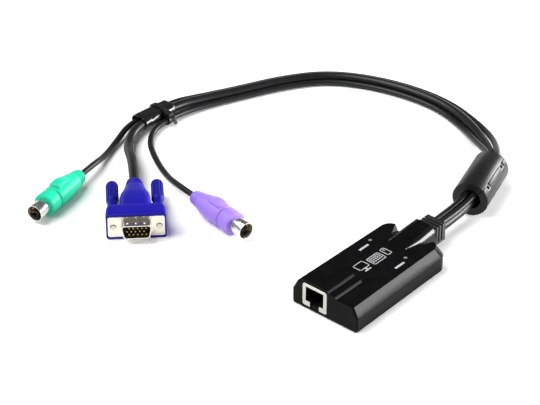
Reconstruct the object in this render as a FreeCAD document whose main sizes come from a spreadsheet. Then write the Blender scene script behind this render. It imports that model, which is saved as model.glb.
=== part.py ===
import FreeCAD, Part
import math
import os
import re
import Sketcher
from FreeCAD import Placement, Rotation, Vector

# Keyboard, video and mouse adapter: a small network housing on a bundle of three cables that end in
# a 15-way video plug and two round 6-way plugs.  Millimetres, +Z up, the network socket faces -Y.
# The origin is the middle of the housing's footprint, on the surface it stands on.

SIZES = [
    # housing, measured from its front face
    ("case_width", 41.2),
    ("front_flare", 1.0),
    ("case_length", 77.0),
    ("case_height", 14.7),
    ("case_wall", 1.6),
    ("case_floor", 1.8),
    ("seam_height", 7.5),
    ("shoulder_height", 9.0),
    ("side_lean", 3.0),
    ("rear_lean", 2.6),
    ("rear_corner", 6.0),
    ("front_corner", 1.2),
    ("foot_bevel", 0.8),
    ("edge_round", 0.5),
    ("fit_gap", 0.15),
    # raised block over the network socket
    ("block_height", 17.6),
    ("block_length", 21.0),
    ("block_margin", 0.6),
    ("ledge_height", 16.2),
    ("ledge_width", 4.4),
    ("riser_lean", 0.6),
    # nose that carries the cables
    ("nose_reach", 5.5),
    ("nose_height", 17.5),
    ("room_end", 56.0),
    ("nose_start", 54.0),
    ("ridge_front_width", 12.6),
    ("ridge_rear_width", 9.6),
    ("nose_foot_width", 17.2),
    ("flank_radius", 14.0),
    ("scoop_start", 59.0),
    ("scoop_floor", 8.7),
    ("scoop_width", 29.0),
    # strain relief
    ("relief_reach", 11.5),
    ("relief_width", 12.4),
    ("relief_bottom", 3.0),
    ("relief_height", 11.2),
    ("relief_neck_width", 9.2),
    ("relief_neck_height", 9.8),
    ("relief_slot_depth", 1.0),
    ("relief_slot_width", 1.2),
    ("relief_flange", 1.6),
    # network socket
    ("jack_side_gap", 5.9),
    ("jack_left", "=jack_side_gap - case_width / 2"),
    ("jack_bottom", 2.1),
    ("jack_width", 16.1),
    ("jack_height", 13.5),
    ("jack_depth", 18.6),
    ("shield_sheet", 0.3),
    ("mouth_width", 11.8),
    ("mouth_height", 8.8),
    ("mouth_sill", 2.8),
    ("mouth_depth", 13.0),
    ("latch_width", 6.2),
    ("contact_pitch", 1.02),
    ("contact_width", 0.4),
    # circuit board and what stands on it
    ("board_bottom", 5.2),
    ("board_thickness", 1.6),
    ("board_length", 54.4),
    ("board_side_gap", 0.4),
    ("chip_width", 12.0),
    ("chip_height", 1.5),
    ("crystal_length", 11.0),
    ("crystal_width", 4.6),
    ("crystal_height", 3.5),
    ("header_width", 14.0),
    ("header_depth", 4.6),
    ("header_height", 4.8),
    ("lead_radius", 1.2),
    ("light_radius", 1.0),
    ("link_light_gap", 7.2),
    ("power_light_gap", 9.8),
    ("screw_side_gap", 4.5),
    ("screw_x", "=case_width / 2 - case_wall - screw_side_gap"),
    ("screw_front", 26.0),
    ("screw_rear", 47.0),
    ("screw_radius", 1.1),
    ("screw_head_radius", 2.1),
    ("screw_head_height", 1.5),
    ("screw_length", 9.0),
    ("boss_radius", 2.7),
    # cables
    ("video_cable_radius", 2.9),
    ("thin_cable_radius", 1.75),
    # clamp-on ferrite
    ("ferrite_x", -1.0),
    ("ferrite_y", 78.5),
    ("ferrite_yaw", 18.0),
    ("ferrite_radius", 10.2),
    ("ferrite_length", 36.5),
    ("ferrite_wall", 1.2),
    ("ferrite_end", 2.2),
    ("ferrite_bore", 5.7),
    ("ferrite_tilt", 45.0),
    ("ferrite_split", 0.3),
    ("latch_length", 5.0),
    ("latch_reach", 3.2),
    ("latch_thickness", 0.9),
    ("latch_from_end", 4.2),
    # branch sleeve and tie
    ("sleeve_x", -199.85),
    ("sleeve_y", 23.5),
    ("sleeve_yaw", -2.5),
    ("sleeve_axis", 5.2),
    ("sleeve_length", 24.5),
    ("sleeve_rear_width", 11.8),
    ("sleeve_rear_height", 8.2),
    ("sleeve_mouth_width", 12.6),
    ("sleeve_mouth_height", 8.6),
    ("sleeve_wall", 0.7),
    ("tie_at", 14.7),
    ("tie_width", 2.5),
    ("tie_thickness", 0.9),
    # video plug, measured from its flange
    ("video_x", -122.65),
    ("video_y", -58.3),
    ("video_yaw", 45.54),
    ("hood_height", 15.8),
    ("hood_length", 43.0),
    ("hood_rim_width", 33.0),
    ("wing_length", 11.0),
    ("hood_body_width", 17.2),
    ("hood_neck_width", 8.6),
    ("hood_neck_height", 9.4),
    ("flange_width", 30.8),
    ("flange_height", 12.5),
    ("flange_thickness", 0.8),
    ("screw_spacing", 25.0),
    ("shell_width", 16.9),
    ("shell_height", 8.36),
    ("shell_reach", 5.9),
    ("shell_sheet", 0.5),
    ("shell_slant", 1.4),
    ("video_pin_radius", 0.38),
    ("video_pin_pitch", 2.29),
    ("video_row_pitch", 1.98),
    ("thumb_radius", 3.6),
    ("thumb_shank_radius", 2.9),
    ("thumb_length", 30.8),
    ("thumb_flute_radius", 0.55),
    ("jackscrew_radius", 1.42),
    ("running_gap", 0.08),
    # round plugs, measured from the front of the moulding
    ("mouse_x", -176.24),
    ("mouse_y", -75.9),
    ("mouse_yaw", 11.3),
    ("keys_x", -85.0),
    ("keys_y", -19.9),
    ("keys_yaw", 81.2),
    ("boot_radius", 6.6),
    ("boot_length", 35.5),
    ("boot_tail_radius", 3.9),
    ("boot_groove", 0.9),
    ("pad_height", 1.7),
    ("pad_width", 7.0),
    ("barrel_radius", 4.75),
    ("barrel_sheet", 0.4),
    ("barrel_reach", 8.8),
    ("round_pin_radius", 0.5),
]
ALIASES = {name for name, _ in SIZES}

# Centre lines of the three cables, housing to plug, millimetres
VIDEO_ROUTE = [
    (0.0, 47.0, 6.55), (0.0, 58.5, 6.55), (0.0, 75.3, 8.5), (-6.6, 96.7, 8.6), (-14.3, 119.4, 8.4),
    (-34.5, 138.5, 4.6), (-55.5, 152.5, 3.0), (-81.0, 160.5, 3.0), (-108.0, 159.5, 3.0),
    (-134.0, 152.5, 3.0), (-156.0, 139.5, 3.0), (-171.0, 117.5, 3.0), (-181.5, 93.5, 3.1),
    (-191.2, 70.5, 3.8), (-196.9, 52.0, 5.2), (-198.3, 19.5, 5.2), (-188.5, 1.8, 3.6),
    (-169.65, -12.15, 7.9), (-153.34, -28.18, 7.9),
]
MOUSE_ROUTE = [
    (1.95, 47.0, 11.15), (1.95, 58.5, 11.15), (1.95, 75.6, 13.1), (-4.75, 97.3, 13.2),
    (-12.7, 120.5, 13.0), (-31.2, 143.0, 6.1), (-53.3, 157.3, 1.9), (-80.3, 165.6, 1.9),
    (-108.8, 164.6, 1.9), (-136.0, 157.2, 1.9), (-159.6, 143.3, 1.9), (-175.5, 120.0, 1.9),
    (-186.2, 95.4, 1.9), (-196.0, 72.2, 2.9), (-201.8, 52.8, 5.2), (-203.2, 19.0, 5.2),
    (-198.3, 3.5, 2.6), (-191.9, -12.5, 2.6), (-185.94, -27.36, 6.6), (-183.196, -41.088, 6.6),
]
KEYS_ROUTE = [
    (-1.95, 47.0, 11.15), (-1.95, 58.5, 11.15), (-1.95, 75.0, 13.1), (-8.45, 96.1, 13.2),
    (-15.9, 118.3, 13.0), (-37.7, 134.0, 6.2), (-57.7, 147.7, 1.9), (-81.7, 155.4, 1.9),
    (-107.2, 154.4, 1.9), (-132.0, 147.8, 1.9), (-152.4, 135.7, 1.9), (-166.5, 115.0, 1.9),
    (-176.8, 91.6, 1.9), (-186.4, 68.8, 2.2), (-191.1, 51.0, 3.1), (-191.9, 30.5, 3.2),
    (-184.5, 15.5, 2.4), (-168.0, 4.0, 2.2), (-150.5, -5.5, 3.2), (-135.9, -12.02, 6.6),
    (-120.082, -14.469, 6.6),
]

DOC = FreeCAD.newDocument("adapter")
SHEET = DOC.addObject("Spreadsheet::Sheet", "sizes")


def fill_sheet():
    """One row a size: its name, and its value under an alias of that name."""
    for row, (name, value) in enumerate(SIZES, start=1):
        SHEET.set("A%d" % row, name)
        SHEET.set("B%d" % row, str(value))
        SHEET.setAlias("B%d" % row, name)
    DOC.recompute()


def sized(text):
    """The expression with each size's name pointed at the sheet."""
    return re.sub(r"[a-z][a-z_]+", lambda m: "sizes." + m.group(0) if m.group(0) in ALIASES else m.group(0), text)


def value(text):
    """What an expression of sizes comes to, in millimetres or degrees."""
    return float(SHEET.evalExpression(sized(text)))


# Where each sub-assembly stands: x, y, z and the turn about +Z of its own frame.  In its own frame
# every connector faces -Y and its cable leaves towards +Y.
CASE = ("0", "-(case_length + nose_reach + relief_reach) / 2", "0", "0")
FERRITE = ("ferrite_x", "ferrite_y", "ferrite_radius", "ferrite_yaw")
SLEEVE = ("sleeve_x", "sleeve_y", "sleeve_axis", "sleeve_yaw")
VIDEO = ("video_x", "video_y", "0", "video_yaw")
MOUSE = ("mouse_x", "mouse_y", "0", "mouse_yaw")
KEYS = ("keys_x", "keys_y", "0", "keys_yaw")

PARTS = []


def stand(thing, frame):
    """Give a finished sub-part its frame's placement and list it for export."""
    x, y, z, yaw = [sized(text) for text in frame]
    thing.setExpression("Placement", "create(<<placement>>; create(<<vector>>; %s; %s; %s); "
                        "create(<<rotation>>; create(<<vector>>; 0; 0; 1); %s))" % (x, y, z, yaw))
    thing.Label = thing.Name
    PARTS.append(thing)
    return thing


def new_body(name):
    return DOC.addObject("PartDesign::Body", name)


PLANES = {"XY": ("XY_Plane", 1), "XZ": ("XZ_Plane", -1), "YZ": ("YZ_Plane", 1)}


def outline(body, plane, at, points, arcs=None):
    """Closed sketch at a distance along a plane's axis: corners by expression, edges straight or arcs.

    arcs maps an edge's number to (radius expression, side), side +1 bulging right of its direction.
    """
    arcs = arcs or {}
    role, sign = PLANES[plane]
    sketch = body.newObject("Sketcher::SketchObject", body.Name + "_outline")
    sketch.AttachmentSupport = [([f for f in body.Origin.OriginFeatures if f.Role == role][0], "")]
    sketch.MapMode = "FlatFace"
    sketch.setExpression("AttachmentOffset.Base.z", "%d * (%s)" % (sign, sized(at)))
    spots = [Vector(value(x), value(y), 0) for x, y in points]
    count = len(spots)
    for edge in range(count):
        start, end = spots[edge], spots[(edge + 1) % count]
        if edge in arcs:
            radius_text, side = arcs[edge]
            sketch.addGeometry(arc_between(start, end, value(radius_text), side))
        else:
            sketch.addGeometry(Part.LineSegment(start, end))
    for edge in range(count):
        following = (edge + 1) % count
        sketch.addConstraint(Sketcher.Constraint("Coincident", edge, end_of(edge, arcs),
                                                 following, start_of(following, arcs)))
    for edge, (x, y) in enumerate(points):
        corner = start_of(edge, arcs)
        bind(sketch, Sketcher.Constraint("DistanceX", -1, 1, edge, corner, spots[edge].x), x)
        bind(sketch, Sketcher.Constraint("DistanceY", -1, 1, edge, corner, spots[edge].y), y)
    for edge, (radius_text, _) in arcs.items():
        bind(sketch, Sketcher.Constraint("Radius", edge, value(radius_text)), radius_text)
    return sketch


def bind(sketch, constraint, text):
    index = sketch.addConstraint(constraint)
    sketch.setExpression("Constraints[%d]" % index, sized(text))


def arc_between(start, end, radius, side):
    """The short arc from start to end, its bulge to the right (+1) or the left (-1) of the chord."""
    chord = end - start
    middle = (start + end) * 0.5
    right = Vector(chord.y, -chord.x, 0).normalize()
    inward = math.sqrt(max(radius ** 2 - (chord.Length / 2) ** 2, 0))
    centre = middle - right * (inward * side)
    top = centre + right * (radius * side)
    return Part.Arc(start, top, end)


def start_of(edge, arcs):
    """Sketch arcs always run counter-clockwise, so one that bulges left is stored end first."""
    return 2 if edge in arcs and arcs[edge][1] < 0 else 1


def end_of(edge, arcs):
    return 1 if edge in arcs and arcs[edge][1] < 0 else 2


def rectangle(body, plane, at, low_x, low_y, high_x, high_y):
    return outline(body, plane, at, [(low_x, low_y), (high_x, low_y), (high_x, high_y), (low_x, high_y)])


def disc(body, plane, at, x, y, radius):
    """Sketch of one circle."""
    role, sign = PLANES[plane]
    sketch = body.newObject("Sketcher::SketchObject", body.Name + "_disc")
    sketch.AttachmentSupport = [([f for f in body.Origin.OriginFeatures if f.Role == role][0], "")]
    sketch.MapMode = "FlatFace"
    sketch.setExpression("AttachmentOffset.Base.z", "%d * (%s)" % (sign, sized(at)))
    sketch.addGeometry(Part.Circle(Vector(value(x), value(y), 0), Vector(0, 0, 1), value(radius)))
    bind(sketch, Sketcher.Constraint("DistanceX", -1, 1, 0, 3, value(x)), x)
    bind(sketch, Sketcher.Constraint("DistanceY", -1, 1, 0, 3, value(y)), y)
    bind(sketch, Sketcher.Constraint("Radius", 0, value(radius)), radius)
    return sketch


def extrude(body, kind, sketch, length, towards):
    """Pad or pocket along +1 or -1 of the sketch plane's axis, counted in the part's own axes."""
    feature = body.newObject("PartDesign::" + kind, body.Name + "_" + kind.lower())
    feature.Profile = sketch
    feature.setExpression("Length", sized(length))
    support = sketch.AttachmentSupport[0][0].Role
    sign = {"XY_Plane": 1, "XZ_Plane": -1, "YZ_Plane": 1}[support]
    forward = sign * towards > 0
    feature.Reversed = forward if kind == "Pocket" else not forward
    sketch.Visibility = False
    return feature


def pad(body, sketch, length, towards=1):
    return extrude(body, "Pad", sketch, length, towards)


def pocket(body, sketch, length, towards=1):
    return extrude(body, "Pocket", sketch, length, towards)


def loft(body, kind, first, second, ruled=True):
    """Additive or subtractive loft between two sketches."""
    feature = body.newObject("PartDesign::%sLoft" % kind, body.Name + "_loft")
    feature.Profile = first
    feature.Sections = [second]
    feature.Ruled = ruled
    return feature


def dress(body, kind, size_text, wanted):
    """Fillet or chamfer on the edges of the body so far that a test picks out."""
    DOC.recompute()
    base = body.Tip
    names = ["Edge%d" % (i + 1) for i, edge in enumerate(base.Shape.Edges) if wanted(edge)]
    feature = body.newObject("PartDesign::" + kind, body.Name + "_edges")
    feature.Base = (base, names)
    feature.setExpression("Radius" if kind == "Fillet" else "Size", sized(size_text))
    return feature


def along_y(edge, slack=0.01):
    ends = [vertex.Point for vertex in edge.Vertexes]
    return len(ends) == 2 and abs(ends[0].x - ends[1].x) < slack and abs(ends[0].z - ends[1].z) < slack


def rod(name, x, y, z, radius, length, towards="Y"):
    """Part cylinder from a point along +X, +Y or +Z."""
    cylinder = DOC.addObject("Part::Cylinder", name)
    cylinder.setExpression("Radius", sized(radius))
    cylinder.setExpression("Height", sized(length))
    turn = {"X": Rotation(Vector(0, 1, 0), 90), "Y": Rotation(Vector(1, 0, 0), -90), "Z": Rotation()}[towards]
    cylinder.Placement = Placement(Vector(), turn)
    for axis, text in zip("xyz", (x, y, z)):
        cylinder.setExpression("Placement.Base." + axis, sized(text))
    return cylinder


def solid_node(name, shape, frame):
    """Node whose solid was made in its frame's own coordinates."""
    node = DOC.addObject("Part::Feature", name)
    node.Shape = Part.makeCompound([shape])
    return stand(node, frame)


def group(name, members, frame):
    """Several separate solids of one kind in one node."""
    compound = DOC.addObject("Part::Compound", name)
    compound.Links = members
    return stand(compound, frame)


# ---------------------------------------------------------------- housing

def case_outline(body, at, inset_x, inset_y, corner):
    """Plan of the housing with rounded corners, a little wider in front, drawn in from its widest outline."""
    half = "(case_width / 2 - %s)" % inset_x
    end = "(case_length - %s)" % inset_y
    wide = "(case_width / 2 + front_flare - %s)" % inset_x
    front = "front_corner"
    points = [("-" + wide + " + " + front, "0"), (wide + " - " + front, "0"), (wide, front),
              (half, end + " - " + corner), (half + " - " + corner, end), ("-" + half + " + " + corner, end),
              ("-" + half, end + " - " + corner), ("-" + wide, front)]
    return outline(body, "XY", at, points, {1: (front, 1), 3: (corner, 1), 5: (corner, 1), 7: (front, 1)})


def nose_section(body, at, foot_width, ridge_width, ridge_height, flank):
    """Section of the nose: flat foot on the seam, flat ridge, hollow flanks."""
    points = [("-%s / 2" % foot_width, "seam_height"), ("%s / 2" % foot_width, "seam_height"),
              ("%s / 2" % ridge_width, ridge_height), ("-%s / 2" % ridge_width, ridge_height)]
    return outline(body, "XZ", at, points, {1: (flank, -1), 3: (flank, -1)})


def add_jack_block(body):
    """Raised block over the socket; its right side comes down in two leaning risers and a ledge."""
    left = "jack_left - block_margin"
    right = "jack_left + jack_width + block_margin"
    root = "case_height - 1.2"
    lean = "riser_lean"
    points = [("%s - 1.6" % left, root), ("%s + ledge_width + 2 * %s" % (right, lean), root),
              ("%s + ledge_width + 2 * %s" % (right, lean), "case_height"),
              ("%s + ledge_width + %s" % (right, lean), "ledge_height"),
              ("%s + %s" % (right, lean), "ledge_height"), (right, "block_height"),
              (left, "block_height")]
    pad(body, outline(body, "XZ", "0", points), "block_length")


def build_upper_shell():
    """Top moulding: leaning sides, raised socket block, nose with scooped flanks, open below."""
    body = new_body("upper_shell")
    top_inset = "side_lean"
    pad(body, case_outline(body, "seam_height", "0", "0", "rear_corner"), "shoulder_height - seam_height")
    loft(body, "Additive", case_outline(body, "shoulder_height", "0", "0", "rear_corner"),
         case_outline(body, "case_height", top_inset, "rear_lean", "rear_corner"))
    scoop_front = outline(body, "XZ", "scoop_start", [
        ("-ridge_front_width / 2 + 1", "case_height"), ("ridge_front_width / 2 - 1", "case_height"),
        ("ridge_front_width / 2", "case_height + 6"), ("-ridge_front_width / 2", "case_height + 6")])
    scoop_rear = outline(body, "XZ", "case_length + 1", [
        ("-scoop_width / 2 + 1", "scoop_floor"), ("scoop_width / 2 - 1", "scoop_floor"),
        ("scoop_width / 2 + 1", "case_height + 6"), ("-scoop_width / 2 - 1", "case_height + 6")])
    loft(body, "Subtractive", scoop_front, scoop_rear)
    loft(body, "Additive",
         nose_section(body, "nose_start", "(ridge_front_width + 1.6)", "ridge_front_width", "case_height",
                      "(3 * flank_radius)"),
         nose_section(body, "case_length + nose_reach", "nose_foot_width", "ridge_rear_width",
                      "nose_height", "flank_radius"))
    add_jack_block(body)
    hollow_upper_shell(body)
    return stand(body, CASE)


def hollow_upper_shell(body):
    """Room for the board, the socket, the leads and the strain relief, and the small holes."""
    inner = "(case_width / 2 - case_wall)"
    roof = "(case_height - case_wall)"
    room_low = rectangle(body, "XY", "seam_height", "-" + inner, "case_wall", inner, "room_end")
    narrow = "(case_width / 2 - side_lean - case_wall + 0.6)"
    room_high = rectangle(body, "XY", roof, "-" + narrow, "case_wall", narrow, "room_end")
    loft(body, "Subtractive", room_low, room_high)
    socket = rectangle(body, "XZ", "0", "jack_left - fit_gap", "seam_height",
                       "jack_left + jack_width + fit_gap", "jack_bottom + jack_height + fit_gap")
    pocket(body, socket, "jack_depth + 2 * fit_gap")
    inner_end = "(case_length + nose_reach - 2)"
    channel = rectangle(body, "XY", "seam_height", "-5.2", "room_end - 1", "5.2", inner_end)
    pocket(body, channel, "4.7")
    flange = rectangle(body, "XY", "seam_height", "-6.4", inner_end + " - relief_flange - fit_gap", "6.4", inner_end)
    pocket(body, flange, "2.5")
    neck = rectangle(body, "XZ", inner_end + " - 0.5", "-relief_neck_width / 2 - fit_gap", "seam_height",
                     "relief_neck_width / 2 + fit_gap", "relief_bottom + 0.4 + relief_neck_height + fit_gap")
    pocket(body, neck, "3.0")
    for x, y in LIGHTS:
        pocket(body, disc(body, "XY", "case_height + 0.5", x, y, "light_radius + fit_gap / 2"), "3.0", -1)
    for x, y in SCREWS:
        pad(body, disc(body, "XY", "seam_height", x, y, "boss_radius"), "case_height - case_wall - seam_height + 0.2")
        pocket(body, disc(body, "XY", "seam_height", x, y, "screw_radius"), "4.0")


LIGHTS = [("-(case_width / 2 - link_light_gap)", "room_end - 2.4"),
          ("(case_width / 2 - power_light_gap)", "room_end - 3.0")]
SCREWS = [("screw_x", "screw_front"), ("-screw_x", "screw_rear")]


def build_lower_shell():
    """Bottom tray with rails for the board, screw posts and the half openings front and rear."""
    body = new_body("lower_shell")
    pad(body, case_outline(body, "0", "0", "0", "rear_corner"), "seam_height")
    neck_end = "(case_length + nose_reach)"
    pad(body, rectangle(body, "XY", "0", "-nose_foot_width / 2", "case_length - 8", "nose_foot_width / 2",
                        neck_end), "seam_height")
    dress(body, "Chamfer", "foot_bevel", lambda edge: edge.BoundBox.ZMax < 0.001)
    inner = "(case_width / 2 - case_wall)"
    room = rectangle(body, "XY", "case_floor", "-" + inner, "case_wall", inner, "case_length - case_wall - 3")
    pocket(body, room, "seam_height")
    inner_end = "(case_length + nose_reach - 2)"
    throat = rectangle(body, "XY", "case_floor", "-6.4", "case_length - 8", "6.4", inner_end)
    pocket(body, throat, "seam_height")
    socket = rectangle(body, "XZ", "0", "jack_left - fit_gap", "jack_bottom - fit_gap",
                       "jack_left + jack_width + fit_gap", "seam_height + 1")
    pocket(body, socket, "case_wall + 1")
    neck = rectangle(body, "XZ", inner_end + " - 0.5", "-relief_neck_width / 2 - fit_gap",
                     "relief_bottom + 0.4 - fit_gap", "relief_neck_width / 2 + fit_gap", "seam_height + 1")
    pocket(body, neck, "3.0")
    for side in ("-", ""):
        rail = "%s(case_width / 2 - case_wall - 1.4)" % side
        wall = "%s(case_width / 2 - case_wall + 0.3)" % side
        low, high = (wall, rail) if side else (rail, wall)
        pad(body, rectangle(body, "XY", "case_floor - 0.3", low, "30", high, "56"),
            "board_bottom - case_floor + 0.3")
    for x, y in SCREWS:
        pad(body, disc(body, "XY", "case_floor - 0.3", x, y, "boss_radius"), "seam_height - case_floor + 0.2")
        pocket(body, disc(body, "XY", "0", x, y, "screw_radius + 0.2"), "seam_height + 1")
        pocket(body, disc(body, "XY", "0", x, y, "screw_head_radius + 0.3"), "2.6")
    label = rectangle(body, "XY", "0", "-10", "32", "10", "62")
    pocket(body, label, "0.3")
    return stand(body, CASE)


def build_circuit_board():
    """Board on the rails, cut away round the socket and round the two screw posts."""
    body = new_body("circuit_board")
    half = "(case_width / 2 - case_wall - board_side_gap)"
    right = "(jack_left + jack_width + 2 * fit_gap)"
    left = "(jack_left - 2 * fit_gap)"
    back = "(jack_depth + 2 * fit_gap)"
    start = "(case_wall + board_side_gap)"
    end = "(%s + board_length)" % start
    points = [("-" + half, start), (left, start), (left, back), (right, back), (right, start), (half, start),
              (half, end), ("-" + half, end)]
    pad(body, outline(body, "XY", "board_bottom", points), "board_thickness")
    for x, y in SCREWS:
        pocket(body, disc(body, "XY", "board_bottom - 1", x, y, "boss_radius + 0.3"), "board_thickness + 2")
    return stand(body, CASE)


def build_jack_shield():
    """Folded metal shell of the network socket, with the plug's mouth and latch notch in front."""
    body = new_body("jack_shield")
    right = "(jack_left + jack_width)"
    top = "(jack_bottom + jack_height)"
    middle = "(jack_left + jack_width / 2)"
    pad(body, rectangle(body, "XZ", "0", "jack_left", "jack_bottom", right, top), "jack_depth")
    room = rectangle(body, "XZ", "shield_sheet", "jack_left + shield_sheet", "jack_bottom + shield_sheet",
                     right + " - shield_sheet", top + " - shield_sheet")
    pocket(body, room, "jack_depth")
    mouth = outline(body, "XZ", "0", [
        (middle + " - mouth_width / 2", "jack_bottom + mouth_sill"),
        (middle + " - latch_width / 2", "jack_bottom + mouth_sill"),
        (middle + " - latch_width / 2", "jack_bottom - 1"), (middle + " + latch_width / 2", "jack_bottom - 1"),
        (middle + " + latch_width / 2", "jack_bottom + mouth_sill"),
        (middle + " + mouth_width / 2", "jack_bottom + mouth_sill"),
        (middle + " + mouth_width / 2", "jack_bottom + mouth_sill + mouth_height"),
        (middle + " - mouth_width / 2", "jack_bottom + mouth_sill + mouth_height")])
    pocket(body, mouth, "shield_sheet + 0.4")
    return stand(body, CASE)


def build_jack_insert():
    """Plastic block in the shield with the plug's cavity and the latch's slot."""
    body = new_body("jack_insert")
    gap = "(shield_sheet + 0.05)"
    middle = "(jack_left + jack_width / 2)"
    front = "(shield_sheet + 0.05)"
    pad(body, rectangle(body, "XZ", front, "jack_left + " + gap, "jack_bottom + " + gap,
                        "jack_left + jack_width - " + gap, "jack_bottom + jack_height - " + gap),
        "jack_depth - 2 * " + gap)
    mouth = rectangle(body, "XZ", front, middle + " - mouth_width / 2", "jack_bottom + mouth_sill",
                      middle + " + mouth_width / 2", "jack_bottom + mouth_sill + mouth_height")
    pocket(body, mouth, "mouth_depth")
    latch = rectangle(body, "XZ", front, middle + " - latch_width / 2", "jack_bottom + 0.9",
                      middle + " + latch_width / 2", "jack_bottom + mouth_sill + 1")
    pocket(body, latch, "mouth_depth - 3")
    return stand(body, CASE)


def build_jack_contacts():
    """Eight spring contacts that slope down and back from the roof of the plug's cavity."""
    roof = value("jack_bottom + mouth_sill + mouth_height") - 0.05
    middle = value("jack_left + jack_width / 2")
    width = value("contact_width")
    wires = []
    for index in range(8):
        x = middle + (index - 3.5) * value("contact_pitch") - width / 2
        corners = [Vector(x, 3.0, roof), Vector(x, 3.4, roof - 0.5), Vector(x, 10.5, roof - 3.2),
                   Vector(x, 10.6, roof - 2.8), Vector(x, 4.2, roof)]
        face = Part.Face(Part.makePolygon(corners + corners[:1]))
        wires.append(face.extrude(Vector(width, 0, 0)))
    return solid_node("jack_contacts", Part.makeCompound(wires), CASE)


def board_top():
    return "(board_bottom + board_thickness)"


def build_board_parts():
    """Controller chip, crystal and cable header on the board, and the leads to the strain relief."""
    chip = new_body("controller_chip")
    pad(chip, rectangle(chip, "XY", board_top(), "-chip_width / 2", "25", "chip_width / 2", "25 + chip_width"),
        "chip_height")
    dress(chip, "Chamfer", "0.3", lambda edge: edge.BoundBox.ZMin > value(board_top() + " + chip_height") - 0.01)
    stand(chip, CASE)
    crystal = new_body("crystal")
    low, high = "-crystal_length / 2", "crystal_length / 2"
    ends = {1: ("crystal_width * 0.502", 1), 3: ("crystal_width * 0.502", 1)}
    shape = [(low + " + crystal_width / 2", "41"), (high + " - crystal_width / 2", "41"),
             (high + " - crystal_width / 2", "41 + crystal_width"), (low + " + crystal_width / 2", "41 + crystal_width")]
    pad(crystal, outline(crystal, "XY", board_top(), shape, ends), "crystal_height")
    stand(crystal, CASE)
    header = new_body("cable_header")
    pad(header, rectangle(header, "XY", board_top(), "-header_width / 2", "50", "header_width / 2",
                          "50 + header_depth"), "header_height")
    stand(header, CASE)
    start = "(50 + header_depth)"
    reach = "(case_length + nose_reach - 2 - relief_flange) - " + start
    leads = [rod("inner_lead_%d" % n, str((n - 2) * 3.2), start, board_top() + " + 2.6", "lead_radius", reach)
             for n in (1, 2, 3)]
    group("inner_leads", leads, CASE)


def build_lights():
    """Two clear light pipes from the board up to the top of the housing."""
    for name, (x, y) in zip(("link_light", "power_light"), LIGHTS):
        body = new_body(name)
        pad(body, disc(body, "XY", board_top(), x, y, "light_radius"), "case_height - board_bottom - board_thickness")
        stand(body, CASE)


def build_case_screws():
    """The two self-tapping screws that hold the shells together from below."""
    members = []
    for number, (x, y) in enumerate(SCREWS, start=1):
        seat = "2.6"
        head = rod("case_screw_head_%d" % number, x, y, seat + " - screw_head_height", "screw_head_radius",
                   "screw_head_height", "Z")
        shank = rod("case_screw_shank_%d" % number, x, y, seat, "screw_radius - 0.05", "screw_length - 1.6", "Z")
        screw = DOC.addObject("Part::Fuse", "case_screw_%d" % number)
        screw.Base = head
        screw.Tool = shank
        members.append(screw)
    group("case_screws", members, CASE)


def build_strain_relief():
    """Ribbed rubber block behind the nose, with a neck through its wall and a flange inside."""
    body = new_body("strain_relief")
    wall_end = "(case_length + nose_reach)"
    half = "(relief_width / 2)"
    top = "(relief_bottom + relief_height)"
    pad(body, rectangle(body, "XZ", wall_end, "-" + half, "relief_bottom", half, top), "relief_reach")
    neck = rectangle(body, "XZ", wall_end + " - 2.0", "-relief_neck_width / 2", "relief_bottom + 0.4",
                     "relief_neck_width / 2", "relief_bottom + 0.4 + relief_neck_height")
    pad(body, neck, "2.0")
    flange = rectangle(body, "XZ", wall_end + " - 2.0 - relief_flange", "-6.2", "2.1", "6.2", "9.9")
    pad(body, flange, "relief_flange")
    for number in range(3):
        at = "(%s + 2.4 + %d * 2.6)" % (wall_end, number)
        for side in ("-", ""):
            near = "%s(%s - relief_slot_depth)" % (side, half)
            far = "%s(%s + 1)" % (side, half)
            low, high = (far, near) if side else (near, far)
            slot = rectangle(body, "XZ", at, low, "relief_bottom + 1.4", high, top + " + 1")
            pocket(body, slot, "relief_slot_width")
        crown = rectangle(body, "XZ", at, "-%s - 1" % half, top + " - relief_slot_depth", half + " + 1", top + " + 1")
        pocket(body, crown, "relief_slot_width")
    return stand(body, CASE)


# ---------------------------------------------------------------- cables

def rounded_path(points):
    """Straight runs joined by tangent arcs, each as large as its two runs allow."""
    spots = [Vector(*point) for point in points]
    edges = []
    radii = []
    here = spots[0]
    for before, corner, after in zip(spots, spots[1:], spots[2:]):
        back = before - corner
        ahead = after - corner
        turn = math.pi - back.getAngle(ahead)
        reach = 0.45 * min(back.Length, ahead.Length)
        radius = reach / math.tan(turn / 2)
        enter = corner + back.normalize() * reach
        leave = corner + ahead.normalize() * reach
        towards_centre = (back + ahead).normalize()
        centre = corner + towards_centre * (radius / math.cos(turn / 2))
        crown = centre - towards_centre * radius
        edges.append(Part.LineSegment(here, enter).toShape())
        edges.append(Part.Arc(enter, crown, leave).toShape())
        radii.append(radius)
        here = leave
    edges.append(Part.LineSegment(here, spots[-1]).toShape())
    return Part.Wire(edges), radii


def build_cable(name, points, radius_text):
    """Round jacketed cable along a route."""
    radius = value(radius_text)
    path, radii = rounded_path(points)
    start = Vector(*points[0])
    direction = Vector(*points[1]) - start
    ring = Part.Wire(Part.Circle(start, direction, radius).toShape())
    tube = path.makePipeShell([ring], True, False)
    expected = math.pi * radius ** 2 * path.Length
    print("%s: length %.1f, smallest radius %.1f, volume ratio %.5f"
          % (name, path.Length, min(radii), tube.Volume / expected))
    cable = DOC.addObject("Part::Feature", name)
    cable.Shape = tube
    cable.Label = name
    PARTS.append(cable)
    return cable


# ---------------------------------------------------------------- clamp-on ferrite

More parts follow.
